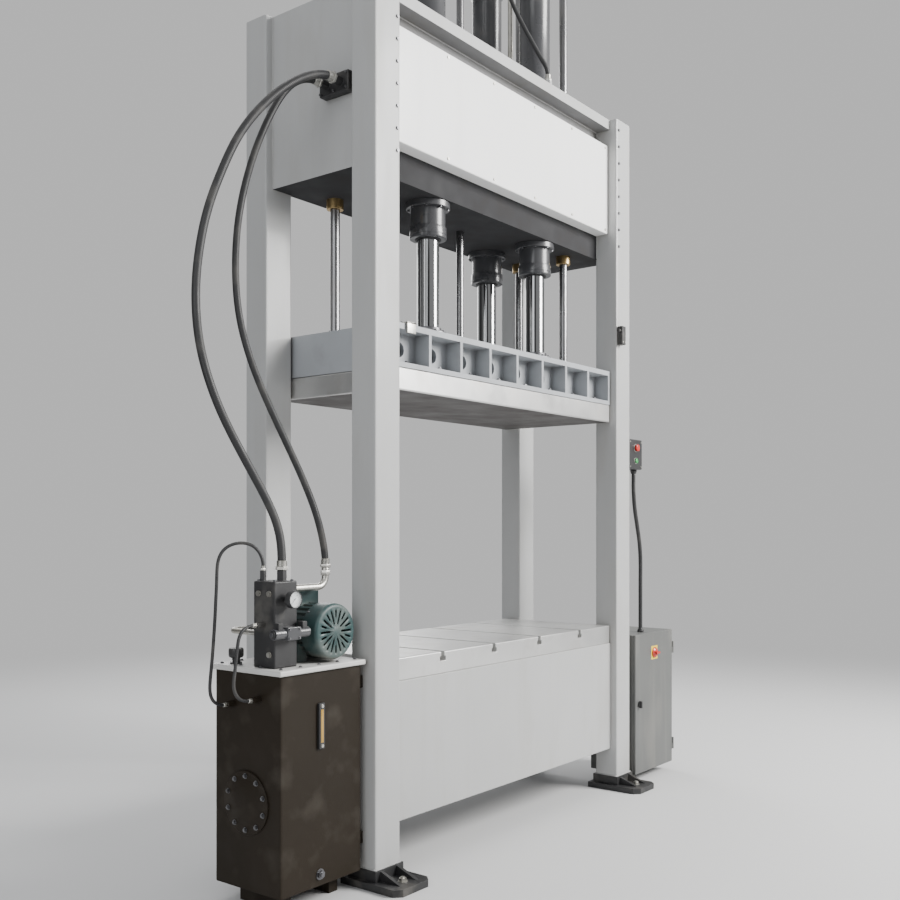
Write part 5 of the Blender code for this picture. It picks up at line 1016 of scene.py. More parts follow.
@dataclass
class Cylinders(SubAssembly):
    """The four cylinder barrels, with rings, screws, seals and bleed screws."""

    radius: float = 0.0825
    bore: float = 0.065
    rod_hole: float = 0.0533
    low: float = 2.85
    ring_low: float = 2.9917
    lock_top: float = 3.8353
    top: float = 4.50
    bleed_z: float = 4.484
    port_drop: float = 0.10
    port_radius: float = 0.020
    port_length: float = 0.040

    def build(self) -> None:
        """Make each barrel and what is screwed to it."""
        for label, x, y in grid(*CYLINDER_SPANS):
            self.shop.turned(f"barrel_{label}", self._profile(), (x, y, 0.0), "barrel_paint", steps=96,
                             replaces=[f"cylinder_{label}"])
            self._fittings(label, x, y)
        self._jumper_port(CYLINDER_SPANS[0] / 2 - self.radius, -CYLINDER_SPANS[1] / 2)
        LOG.info("cylinders: 4 barrels of %.2f m", self.top - self.low)

    def _profile(self) -> Profile:
        """Draw the barrel's closed outline, bore and all.

        Returns:
            Its points of (radius, height).
        """
        low = self.low
        radius = self.radius
        return [
            (0.0, 4.44), (self.bore, 4.44), (self.bore, 2.93), (self.rod_hole, 2.93), (self.rod_hole, low),
            (0.0845, low), (0.0872, low + 0.0012), (0.088, low + 0.004), (0.088, low + 0.014),
            (0.0865, low + 0.0155), (0.0865, low + 0.0185), (0.088, low + 0.020), (0.088, low + 0.0515),
            (0.0868, low + 0.0545), (radius, low + 0.055), (radius, self.ring_low), (0.1035, self.ring_low),
            (0.105, 2.9932), (0.105, 3.0182), (0.1035, 3.0197), (radius, 3.0197), (radius, ON_CROWN),
            (0.1062, ON_CROWN), (0.108, 3.8021), (0.108, 3.8335), (0.1062, self.lock_top),
            (radius + 0.005, self.lock_top), (radius + 0.0015, 3.8375), (radius, 3.841), (radius, 4.449),
            (radius + 0.002, 4.4525), (0.0885, 4.455), (0.090, 4.4565), (0.090, 4.4680), (0.0885, 4.4695),
            (0.0885, 4.4725), (0.090, 4.474), (0.090, 4.496), (0.0888, 4.4988), (0.086, self.top), (0.0, self.top),
        ]

    def _fittings(self, label: str, x: float, y: float) -> None:
        """Set one barrel's screws, wiper and bleed screw.

        Args:
            label: The barrel's label.
            x: Its place across.
            y: Its place in depth.
        """
        ring_of = self.screws.ring_of
        ring_of(f"ring_screws_{label}", (x, y, self.ring_low), 0.0932, 8, Heading.DOWN, 0.0062, 0.006, phase=0.2)
        ring_of(f"head_screws_{label}", (x, y, self.top), 0.066, 8, Heading.UP, 0.009, 0.009, phase=0.39)
        ring_of(f"lock_screws_{label}", (x, y, self.lock_top), 0.0960, 6, Heading.UP, 0.006, 0.006)
        self.shop.turned(f"wiper_{label}", [
            (self.rod_hole, 2.8497), (0.0535, 2.8455), (0.058, 2.8450), (0.062, 2.8470), (0.0625, 2.8497),
            (self.rod_hole, 2.8497)], (x, y, 0.0), "rubber")
        bleed_y, way = (y - 0.090, Heading.FRONT) if y < 0 else (y + 0.090, Heading.REAR)
        self.screws.heads_at(f"bleed_screw_{label}", [(x, bleed_y, self.bleed_z)], way, 0.006, 0.007, Head.HEX,
                             finish="zinc")

    def _jumper_port(self, x: float, y: float) -> None:
        """Make the port on the front right barrel that the jumper hose is screwed to.

        Args:
            x: The barrel's left side.
            y: The port's place in depth.
        """
        turn = Vector((-1.0, 0.0, 0.0)).to_track_quat("Z", "X").to_matrix().to_4x4()
        place = Matrix.Translation((x, y, self.top - self.port_drop)) @ turn
        wide, far = self.port_radius, self.port_length
        shape = bmesh.new()
        add_turned(shape, [(0.0, -0.005), (wide, -0.005), (wide, 0.0385), (0.0185, far), (0.0, far)], place, 6)
        add_turned(shape, [(0.0, -0.003), (0.0252, -0.003), (0.0252, 0.001), (0.0215, 0.0036), (0.0185, 0.0045),
                           (0.0, 0.0045)], place, 32)
        self.shop.settle(self.shop.from_shape("jumper_port", shape), "zinc")


@dataclass
class Platen(SubAssembly):
    """The moving platen with its rams, rods, die plate, screws and welds."""

    base: float = 2.1803
    top: float = 2.3703
    half_x: float = 0.93
    web_y: float = 0.275
    screw_y: float = 0.325
    bays: int = 8
    guide_rod: tuple[float, float, float] = (0.0225, 4.744, 0.046)
    centre_rod: tuple[float, float, float] = (0.019, 4.68, 0.040)
    flange_top: float = 2.4086
    collar_top: float = 2.3986
    bracket_top: float = 2.3786

    def build(self) -> None:
        """Make everything that travels."""
        self.shop.refined("platen_beam", "platen_paint", 0.0025, "platen")
        plate = self.shop.refined("die_plate", "ground_steel", 0.0025, "platen")
        # The die plate's downward faces get dark painted shade.
        self.shop.zone(plate, "die_underside_painted_shade", lambda _, way: way.z < -0.9)
        for label, x, y in grid(*CYLINDER_SPANS):
            self._ram(label, x, y)
        for label, x, y in grid(*GUIDE_SPANS):
            self._rod(f"guide_rod_{label}", x, y, *self.guide_rod)
        self._rod("centre_rod", 0.0, 0.0, *self.centre_rod)
        self._welds_and_screws()
        self._stop_bracket()
        LOG.info("platen: 4 rams, 5 rods, %d bays a side", self.bays)

    def _ram(self, label: str, x: float, y: float) -> None:
        """Make one chromed ram, its piston and its flange.

        Args:
            label: The ram's label.
            x: Its place across.
            y: Its place in depth.
        """
        self.shop.turned(f"ram_rod_{label}", [
            (0.0, 2.400), (0.0525, 2.400), (0.0525, 3.870), (0.0640, 3.870), (0.0645, 3.8705), (0.0645, 3.890),
            (0.0630, 3.8905), (0.0630, 3.8995), (0.0645, 3.900), (0.0645, 3.9695), (0.0640, 3.970), (0.0, 3.970),
        ], (x, y, 0.0), "chrome", steps=96, body="platen", replaces=[f"ram_{label}"])
        self.shop.turned(f"ram_flange_{label}", [
            (0.0, ON_PLATEN), (0.0865, ON_PLATEN), (0.088, 2.3721), (0.088, 2.4071), (0.0865, self.flange_top),
            (0.066, self.flange_top), (0.0640, 2.4106), (0.0640, 2.4286), (0.0620, 2.4306), (0.0, 2.4306),
        ], (x, y, 0.0), "bolt_steel", steps=96, body="platen")
        self.screws.ring_of(f"ram_screws_{label}", (x, y, self.flange_top), 0.0760, 8, Heading.UP, 0.0075, 0.009,
                            phase=0.39, body="platen")

    def _rod(self, name: str, x: float, y: float, radius: float, top: float, collar: float) -> None:
        """Make one rod with its clamp collar.

        Args:
            name: The solid's name.
            x: Its place across.
            y: Its place in depth.
            radius: The rod's radius.
            top: Its upper end.
            collar: The collar's radius.
        """
        self.shop.turned(name + "_dressed", [
            (0.0, 2.3443), (radius, 2.3443), (radius, top - 0.004), (radius - 0.004, top), (0.0, top)],
            (x, y, 0.0), "rod_steel", steps=48, body="platen", replaces=[name])
        self.shop.turned(name + "_collar", [
            (radius - 0.001, ON_PLATEN), (collar - 0.0015, ON_PLATEN), (collar, 2.3721), (collar, 2.3971),
            (collar - 0.0015, self.collar_top), (radius + 0.001, self.collar_top), (radius - 0.001, 2.3970),
            (radius - 0.001, ON_PLATEN)], (x, y, 0.0), "rod_steel", body="platen")
        self.screws.ring_of(name + "_screws", (x, y, self.collar_top), (radius + collar) / 2, 6, Heading.UP,
                            0.0052, 0.006, body="platen")

    def _welds_and_screws(self) -> None:
        """Lay the bays' weld beads and set the die plate's screws."""
        lines = []
        bolts = []
        pitch = 2 * self.half_x / self.bays
        for out in (-1, 1):
            y = out * (self.web_y + 0.001)
            for z in (self.base + 0.022, self.top - 0.026):
                lines.append([(-0.905, y, z), (0.905, y, z)])
            for bay in range(self.bays):
                bolts.append((-self.half_x + pitch * (bay + 0.5), out * self.screw_y, self.base + 0.022))
        self.screws.welds("platen_welds", lines, 0.0045, "platen_paint", "platen")
        self.screws.heads_at("die_screws", bolts, Heading.UP, 0.012, 0.011, Head.HEX, "platen")

    def _stop_bracket(self) -> None:
        """Fold the bracket that meets the position sensor's switch, and screw it down."""
        left, right, front, high = -0.860, -0.805, -0.372, self.bracket_top
        self.shop.boxes("stop_bracket", "zinc", [
            ((left, front, ON_PLATEN), (right, -0.300, high), 0.0015),
            ((left, front, 2.3300), (right, -0.3603, high), 0.0015)], "platen")
        self.screws.heads_at("bracket_screws", [(x, -self.screw_y, high) for x in (-0.845, -0.820)], Heading.UP,
                             0.006, 0.006, body="platen")


@dataclass
class GuideBushes(SubAssembly):
    """The four long flanged guide sleeves."""

    low: float = 2.975
    flange_top: float = 3.8243

    def build(self) -> None:
        """Make each sleeve, its screws and its wiper."""
        for label, x, y in grid(*GUIDE_SPANS):
            self.shop.turned(f"sleeve_{label}", [
                (0.023, self.low), (0.0385, self.low), (0.040, 2.9765), (0.040, ON_CROWN), (0.0605, ON_CROWN),
                (0.062, 3.8018), (0.062, 3.8228), (0.0605, self.flange_top), (0.026, self.flange_top),
                (0.023, 3.8215), (0.023, self.low)], (x, y, 0.0), "bronze", replaces=[f"guide_bush_{label}"])
            self.shop.turned(f"sleeve_wiper_{label}", [
                (0.0228, 3.8235), (0.0330, 3.8235), (0.0325, 3.8290), (0.0235, 3.8300), (0.0228, 3.8235)],
                (x, y, 0.0), "rubber", steps=48)
            self.screws.ring_of(f"sleeve_screws_{label}", (x, y, self.flange_top), 0.050, 6, Heading.UP,
                                0.0062, 0.007)
        LOG.info("guide sleeves: 4")


@dataclass
class Frame(SubAssembly):
    """Posts, feet, bed, bolster, crown and its cover, with welds, screws and anchors."""

    inner_x: float = 0.94
    outer_x: float = 1.10
    inner_y: float = 0.26
    outer_y: float = 0.40
    flange_low: float = 3.745
    strip_top: float = 3.16
    anchor_x: float = 1.02
    anchor_y: float = 0.479
    foot_top: float = 0.030
    foot_weld_z: float = 0.0765

    def build(self) -> None:
        """Dress the welded frame."""
        for row, side in CORNERS:
            self.shop.refined(f"post_{row}_{side}", "frame_paint", 0.003)
            self.shop.refined(f"foot_{row}_{side}", "black_paint", 0.002)
        self.shop.refined("bed_beam", "frame_paint", 0.003)
        self.shop.refined("bolster_plate", "ground_steel", 0.0015)
        self._crown()
        self._cover()
        self._anchors()
        self._welds()
        self._post_screws()
        LOG.info("frame: 4 posts, 4 feet, bed, bolster, crown and cover")

    def _crown(self) -> None:
        """Dress the crown, whose top flange is as light as the posts, and whose underside and front strip below the
        cover get near-black painted shade.
        """
        crown = self.shop.refined("crown_beam", "crown_paint", 0.0025, levels=[self.strip_top])
        self.shop.zone(crown, "frame_paint", lambda place, _: place.z > self.flange_low + 0.001
                       or abs(place.x) > self.inner_x + 0.02)
        # The underside and the front strip below the cover get near-black painted shade.
        self.shop.zone(crown, "crown_painted_shade", lambda place, way: place.z < self.strip_top
                       and (place.y < -self.inner_y and abs(place.x) < self.inner_x or way.z < -0.5))

    def _cover(self) -> None:
        """Dress the white cover and screw it down."""
        self.shop.refined("crown_cover", "cover_paint", 0.0015)
        places = [(x, -0.3451, z) for z in (3.173, 3.636) for x in span(-0.905, 0.905, 6)]
        self.screws.heads_at("cover_screws", places, Heading.FRONT, 0.0065, 0.004, finish="zinc")

    def _anchors(self) -> None:
        """Set a stud, a nut and a washer in each foot."""
        places = [(x, y, self.foot_top) for x in (-self.anchor_x, self.anchor_x)
                  for y in (-self.anchor_y, self.anchor_y)]
        self.screws.heads_at("anchor_nuts", places, Heading.UP, 0.0165, 0.014, Head.HEX, finish="zinc")
        shape = bmesh.new()
        for x, y, _ in places:
            add_turned(shape, rounded_rod(0.0088, 0.002, 0.046), Matrix.Translation((x, y, 0.0)), 24)
        self.shop.settle(self.shop.from_shape("anchor_studs", shape), "zinc")

    def _welds(self) -> None:
        """Lay the frame's weld beads."""
        lines = []
        foot_z = self.foot_weld_z
        bed, crown = (0.240, 0.820), (3.030, 3.790)
        for out_x in (-1, 1):
            for out_y in (-1, 1):
                x, far_x = out_x * self.inner_x, out_x * self.outer_x
                y, far_y = out_y * self.inner_y, out_y * self.outer_y
                lines.append([(x, y, foot_z), (far_x, y, foot_z), (far_x, far_y, foot_z), (x, far_y, foot_z),
                              (x, y, foot_z)])
                lines += [[(at_x, at_y, low), (at_x, at_y, high)] for at_x, at_y, (low, high) in (
                    (out_x * 1.06, y, crown), (out_x * 1.06, y, bed), (x, out_y * 0.27, (crown[0], 3.740)),
                    (x, out_y * 0.36, bed))]
        for out_y in (-1, 1):
            lines.append([(x, out_y * 0.271, self.flange_low) for x in (-0.93, 0.93)])
        self.screws.welds("frame_welds", lines, 0.0048, "frame_paint")

    def _post_screws(self) -> None:
        """Set the columns of small screws beside the crown on the posts."""
        for (row, out), heading in zip(ROWS.items(), (Heading.FRONT, Heading.REAR)):
            places = [(x, out * self.outer_y, z) for x in (-0.962, 0.962) for z in span(3.08, 3.74, 8)]
            self.screws.heads_at(f"post_screws_{row}", places, heading, 0.0075, 0.006)


@dataclass
class Pipes(SubAssembly):
    """The rigid pipes with their union nuts."""

    cap_x: float = 0.46
    cap_radius: float = 0.014
    cap_foot: float = 4.5003
    cap_nut: float = 0.026

    def build(self) -> None:
        """Bend every rigid pipe."""
        for side, out in SIDES.items():
            self._cap_pipe(side, out * self.cap_x)
        quarter = span(0.0, math.pi / 2, 9)
        start, end = (-1.4397, -0.235, 1.2476), (-1.225, -0.235, 1.3253)
        arc = [(-1.2685 + 0.0435 * math.sin(turn), -0.235, 1.2911 - 0.0435 * math.cos(turn)) for turn in quarter]
        self._pipe("transfer_pipe", [start, *arc, end], 0.0145,
                   [(start, Heading.RIGHT), ((-1.225, -0.235, 1.2933), Heading.UP)], 0.020)
        start, end = (-1.3173, 0.04, 1.0716), (-1.50, -0.1747, 1.0716)
        arc = [(-1.456 - 0.044 * math.sin(turn), -0.004 + 0.044 * math.cos(turn), 1.0716) for turn in quarter]
        self._pipe("pump_pipe", [start, *arc, end], 0.011, [(start, Heading.LEFT), (end, Heading.REAR)], 0.0167)
        LOG.info("pipes: 2 over the heads, 2 at the pump")

    def _cap_pipe(self, side: str, x: float) -> None:
        """Bend the pipe over one pair of heads, with its riser.

        Args:
            side: Left or right.
            x: Its place across.
        """
        reach = CYLINDER_SPANS[1] / 2
        arc = [(x, 0.11 + 0.05 * math.cos(turn), 4.5603 + 0.05 * math.sin(turn))
               for turn in span(0.0, math.pi / 2, 9)]
        half = [(x, reach, self.cap_foot), *arc]
        route = half + [(px, -py, pz) for px, py, pz in reversed(half)]
        nuts = [((x, -reach, self.cap_foot), Heading.UP), ((x, reach, self.cap_foot), Heading.UP),
                ((x, 0.0, ON_CROWN), Heading.UP)]
        self._pipe(f"cap_pipe_{side}", route, self.cap_radius, nuts, self.cap_nut)
        self.shop.turned(f"riser_{side}", rounded_rod(self.cap_radius, ON_CROWN, 4.6103), (x, 0.0, 0.0), "zinc",
                         steps=32)

    def _pipe(self, node: str, route: Sequence[Point], radius: float, nuts: Sequence[tuple[Point, Heading]],
              nut: float) -> None:
        """Make one bent pipe and its union nuts.

        Args:
            node: The solid that it stands for.
            route: Its centre line.
            radius: Its radius.
            nuts: Where each nut starts and points.
            nut: The nuts' radius.
        """
        shape = bmesh.new()
        add_tube(shape, [Vector(point) for point in route], [radius] * len(route), 28)
        for place, heading in nuts:
            matrix = Matrix.Translation(place) @ heading.value
            add_turned(shape, [(0.0, 0.0), (nut * 0.96, 0.0), (nut, 0.002), (nut, 0.019), (nut * 0.94, 0.021),
                               (0.0, 0.021)], matrix, 6)
            add_turned(shape, [(0.0, 0.020), (nut * 0.78, 0.020), (nut * 0.78, 0.029), (nut * 0.70, 0.032),
                               (0.0, 0.032)], matrix, 28)
        self.shop.settle(self.shop.from_shape(node + "_bent", shape, 35.0), "zinc", replaces=[node])


@dataclass
class PowerUnit(SubAssembly):
    """Oil tank, lid, motor, pump, manifold, valve and gauge."""

    left: float = -1.58
    right: float = -1.13
    front: float = -0.35
    back: float = 0.03
    lid_top: float = 0.9473
    hatch: Point = (-1.58, -0.16, 0.42)
    motor_x: float = -1.265
    motor_z: float = 1.0716
    bell_y: float = -0.0447
    shroud_y: float = -0.265
    rim_y: float = -0.259
    fan_slots: int = 20
    manifold_x: float = -1.50
    manifold_top: float = 1.2826
    valve_z: float = 1.0826
    gauge_z: float = 1.2126

    def build(self) -> None:
        """Dress the power unit."""
        self._tank()
        self._tank_trim()
        self._motor()
        self._fan_cover()
        self._pump()
        self._manifold()
        self._valve()
        Gauge(self.shop, self.screws, (self.manifold_x, -0.2953, self.gauge_z)).build()
        LOG.info("power unit: tank, motor, pump, manifold, valve and gauge")

    def _tank(self) -> None:
        """Dress the tank and the lid, with the lid's screws and breather."""
        self.shop.refined("oil_tank", "tank_paint", 0.0015)
        self.shop.refined("tank_lid", "lid_paint", 0.002)
        rim_x = span(self.left + 0.02, self.right - 0.02, 5)
        rim_y = span(self.front + 0.02, self.back - 0.02, 4)
        places = [(x, y, self.lid_top) for x in rim_x for y in rim_y
                  if x in (rim_x[0], rim_x[-1]) or y in (rim_y[0], rim_y[-1])]
        self.screws.heads_at("lid_screws", places, Heading.UP, 0.0065, 0.005, Head.HEX)
        self.shop.turned("filler_breather", [
            (0.0, 0.0), (0.024, 0.0), (0.024, 0.006), (0.016, 0.008), (0.016, 0.022), (0.027, 0.026), (0.030, 0.032),
            (0.030, 0.056), (0.027, 0.062), (0.0, 0.064)], (-1.535, -0.045, self.lid_top), "black_plastic")

    def _tank_trim(self) -> None:
        """Fit the level glass, the drain plug and the clean-out hatch."""
        front = self.front
        self.shop.boxes("level_glass_body", "black_plastic",
                        [((-1.385, front - 0.012, 0.62), (-1.355, front + 0.0004, 0.80), 0.003)])
        self.shop.boxes("level_glass", "oil_glass",
                        [((-1.377, front - 0.0135, 0.645), (-1.363, front - 0.011, 0.775), 0.001)])
        self.screws.heads_at("level_glass_screws", [(-1.370, front - 0.012, z) for z in (0.632, 0.788)],
                             Heading.FRONT, 0.0062, 0.004, finish="zinc")
        self.screws.heads_at("drain_plug", [(-1.37, front, 0.125)], Heading.FRONT, 0.017, 0.012, Head.HEX)
        self.shop.turned("clean_out_hatch", [
            (0.0, 0.0), (0.125, 0.0), (0.125, 0.006), (0.122, 0.008), (0.090, 0.008), (0.086, 0.010), (0.0, 0.011)],
            self.hatch, "tank_paint", Heading.LEFT, 96)
        outer = [(x - 0.008, y, z) for x, y, z in self.screws.ring(self.hatch, 0.105, 10, Heading.LEFT)]
        self.screws.heads_at("hatch_screws", outer, Heading.LEFT, 0.0085, 0.007, Head.HEX)

    def _motor(self) -> None:
        """Dress the finned motor, its feet's screws and its terminal box."""
        self.shop.refined("motor", "motor_paint", 0.0008)
        feet = [(self.motor_x + out * 0.092, y, 0.962) for out in (-1, 1) for y in (-0.200, -0.130)]
        self.screws.heads_at("motor_foot_screws", feet, Heading.UP, 0.0075, 0.006, Head.HEX)
        box = [(self.motor_x + out * 0.040, y, self.motor_z + 0.165) for out in (-1, 1) for y in (-0.175, -0.085)]
        self.screws.heads_at("terminal_screws", box, Heading.UP, 0.0045, 0.003)
        self.screws.ring_of("bell_screws", (self.motor_x, self.bell_y, self.motor_z), 0.086, 4, Heading.REAR,
                            0.007, 0.007, phase=math.pi / 4, head=Head.HEX)

    def _fan_cover(self) -> None:
        """Press the fan cover from sheet, with its slots and screws."""
        outer, inner = ([(0.097 + edge * math.cos(turn), 0.054 + edge * math.sin(turn)) for turn in turns]
                        for edge, turns in ((0.016, span(0.0, math.pi / 2, 6)), (0.0135, span(math.pi / 2, 0.0, 6))))
        profile = [(0.0, 0.070), *reversed(outer), (0.113, -0.014), (0.1105, -0.014), *reversed(inner),
                   (0.0, 0.0675)]
        middle = Matrix.Translation((self.motor_x, self.shroud_y, self.motor_z))
        shape = bmesh.new()
        add_turned(shape, profile, middle @ Heading.FRONT.value, 80)
        cover = self.shop.from_shape("fan_shroud", shape)
        shape = bmesh.new()
        for number in range(self.fan_slots):
            turn = Matrix.Rotation(2 * math.pi * number / self.fan_slots, 4, "Y")
            reach = 0.056 if number % 2 == 0 else 0.030
            place = Matrix.Translation((0.086 - reach / 2, -0.070, 0.0)) @ Matrix.Diagonal((reach, 0.02, 0.008, 1.0))
            bmesh.ops.create_cube(shape, size=1.0, matrix=middle @ turn @ place)
        slots = cover.modifiers.new("slots", "BOOLEAN")
        slots.object = self.shop.from_shape("fan_slots", shape)
        slots.solver = "EXACT"
        slots.operation = "DIFFERENCE"
        cutter = slots.object
        bake(cover)
        bpy.data.objects.remove(cutter)
        self.shop.settle(cover, "motor_paint", replaces=["fan_cover"])
        rim = self.screws.ring((self.motor_x, self.rim_y, self.motor_z), 0.113, 4, Heading.FRONT, math.pi / 4)
        for number, (x, _, z) in enumerate(rim):
            way = Vector((x - self.motor_x, 0.0, z - self.motor_z)).normalized()
            matrix = Matrix.Translation((x, self.rim_y, z)) @ way.to_track_quat("Z", "Y").to_matrix().to_4x4()
            shape = bmesh.new()
            add_turned(shape, [(0.0, 0.0), (0.005, 0.0), (0.0045, 0.003), (0.0, 0.0035)], matrix, 16)
            self.shop.settle(self.shop.from_shape(f"shroud_screw_{number}", shape), "bolt_steel")

    def _pump(self) -> None:
        """Turn the pump with its bell housing."""
        self.shop.turned("pump_body", [
            (0.0, 0.0), (0.076, 0.0), (0.078, 0.002), (0.078, 0.0110), (0.0765, 0.0125), (0.0640, 0.0150),
            (0.0620, 0.0180), (0.0620, 0.0500), (0.0520, 0.0500), (0.0520, 0.0740), (0.0505, 0.0755),
            (0.0505, 0.0785), (0.0520, 0.080), (0.0520, 0.1160), (0.0505, 0.1190), (0.048, 0.120), (0.0, 0.120),
        ], (self.motor_x, self.bell_y, self.motor_z), "barrel_paint", Heading.REAR, 72, replaces=["pump"])
        self.screws.ring_of("pump_screws", (self.motor_x, 0.0753, self.motor_z), 0.040, 4, Heading.REAR,
                            0.0065, 0.007, phase=math.pi / 4)

    def _manifold(self) -> None:
        """Dress the manifold block with its plugs and screws."""
        self.shop.refined("valve_manifold", "black_paint", 0.0018)
        self.shop.refined("hose_port_block", "black_paint", 0.0018)
        left, right = self.manifold_x - 0.045, self.manifold_x + 0.045
        plugs = [(self.manifold_x - 0.06, y, z) for y, z in ((-0.205, 1.235), (-0.265, 1.235), (-0.265, 1.000))]
        self.screws.heads_at("manifold_plugs", plugs, Heading.LEFT, 0.0105, 0.006, finish="zinc")
        screws = [(x, y, self.manifold_top) for x, y in ((left, -0.28), (right, -0.28), (left, -0.19))]
        self.screws.heads_at("manifold_screws", screws, Heading.UP, 0.006, 0.006)
        screws = [(-1.1053, y, z) for y in (-0.240, -0.165, -0.090) for z in (3.344, 3.406)]
        self.screws.heads_at("port_block_screws", screws, Heading.LEFT, 0.006, 0.006)

    def _valve(self) -> None:
        """Dress the valve with its coils, plugs and cover screws."""
        self.shop.refined("solenoid_valve", "barrel_paint", 0.0012)
        x, z = self.manifold_x, self.valve_z
        self.screws.heads_at("valve_screws", [(x + dx, -0.3433, z + dz) for dx in (-0.026, 0.026)
                                              for dz in (-0.017, 0.017)], Heading.FRONT, 0.0042, 0.004)
        shape = bmesh.new()
        for out, heading in ((-1, Heading.LEFT), (1, Heading.RIGHT)):
            low = (x + out * 0.063 - 0.012, -0.3343, 1.098)
            add_box(shape, low, (low[0] + 0.024, low[1] + 0.030, 1.125), 0.002)
            nut = Matrix.Translation((x + out * 0.0905, -0.3193, z)) @ heading.value
            add_turned(shape, [(0.0, -0.002), (0.015, -0.002), (0.0155, 0.004), (0.010, 0.006), (0.0, 0.006)],
                       nut, 24)
        self.shop.settle(self.shop.from_shape("coil_connectors", shape), "black_plastic")


@dataclass
class Gauge(SubAssembly):
    """The pressure gauge: case, dial, ticks, numbers, needle and glass."""

    place: Point = (0.0, 0.0, 0.0)
    face: float = 0.045
    sides: int = 72
    ticks: int = 31
    figures: tuple[str, ...] = ("0", "100", "200", "300")
    sweep: float = 270.0

    def build(self) -> None:
        """Make the gauge."""
        floor = self.face - 0.001
        self._turned("gauge_case", [
            (0.0, 0.0), (0.007, 0.0), (0.007, 0.006), (0.011, 0.006), (0.011, 0.018), (0.007, 0.018), (0.007, 0.025),
            (0.031, 0.025), (0.034, 0.028), (0.034, 0.0535), (0.0332, 0.055), (0.0305, 0.055), (0.030, 0.0535),
            (0.030, floor), (0.0, floor)], "black_plastic", ["pressure_gauge"])
        self._turned("gauge_dial", [(0.0, floor), (0.0299, floor), (0.0299, self.face), (0.0, self.face)],
                     "dial_white")
        self._ticks()
        self._numbers()
        self._turned("gauge_glass", [(0.0, 0.0522), (0.0302, 0.0522), (0.0302, 0.0537), (0.0, 0.0537)], "glass")
        needle = self.shop.nodes["gauge_needle"]
        LOG.info("gauge: %d ticks, needle of %d faces", self.ticks, len(needle.data.polygons))

    def _turned(self, name: str, profile: Profile, finish: str, replaces: Iterable[str] = ()) -> None:
        """Turn one round piece of the gauge.

        Args:
            name: The piece's name.
            profile: Its outline.
            finish: The finish's name.
            replaces: The solids that it stands for.
        """
        self.shop.turned(name, profile, self.place, finish, Heading.FRONT, self.sides, replaces=replaces)

    def _at(self, angle: float, radius: float, lift: float) -> Vector:
        """Return a place on the dial at a clock angle in degrees."""
        turn = math.radians(angle)
        return Vector(self.place) + Vector((radius * math.sin(turn), -self.face - lift, radius * math.cos(turn)))

    def _ticks(self) -> None:
        """Print the ticks, every fifth of them longer and wider."""
        shape = bmesh.new()
        for number in range(self.ticks):
            angle = -self.sweep / 2 + self.sweep * number / (self.ticks - 1)
            length, width = (0.0045, 0.0007) if number % 5 == 0 else (0.0025, 0.0004)
            spot = Matrix.Translation(self._at(angle, 0.0275 - length / 2, 0.00015))
            turn = Matrix.Rotation(math.radians(angle), 4, "Y")
            size = Matrix.Diagonal((width, 0.0003, length, 1.0))
            bmesh.ops.create_cube(shape, size=1.0, matrix=spot @ turn @ size)
        self.shop.settle(self.shop.from_shape("gauge_ticks", shape), "black_plastic")

    def _numbers(self) -> None:
        """Print the plain numbers."""
        for number, word in enumerate(self.figures):
            curve = bpy.data.curves.new(f"gauge_number_{number}", "FONT")
            curve.body = word
            curve.size = 0.0052
            curve.align_x = "CENTER"
            curve.align_y = "CENTER"
            curve.extrude = 0.0001
            text = link(curve.name, curve)
            bpy.context.view_layer.update()
            mesh = bpy.data.meshes.new_from_object(text.evaluated_get(bpy.context.evaluated_depsgraph_get()))
            bpy.data.objects.remove(text)
            angle = -self.sweep / 2 + self.sweep * number / (len(self.figures) - 1)
            mesh.transform(Matrix.Translation(self._at(angle, 0.0195, 0.0002)) @ Heading.FRONT.value)
            self.shop.settle(link(f"gauge_figure_{number}", mesh), "black_plastic")


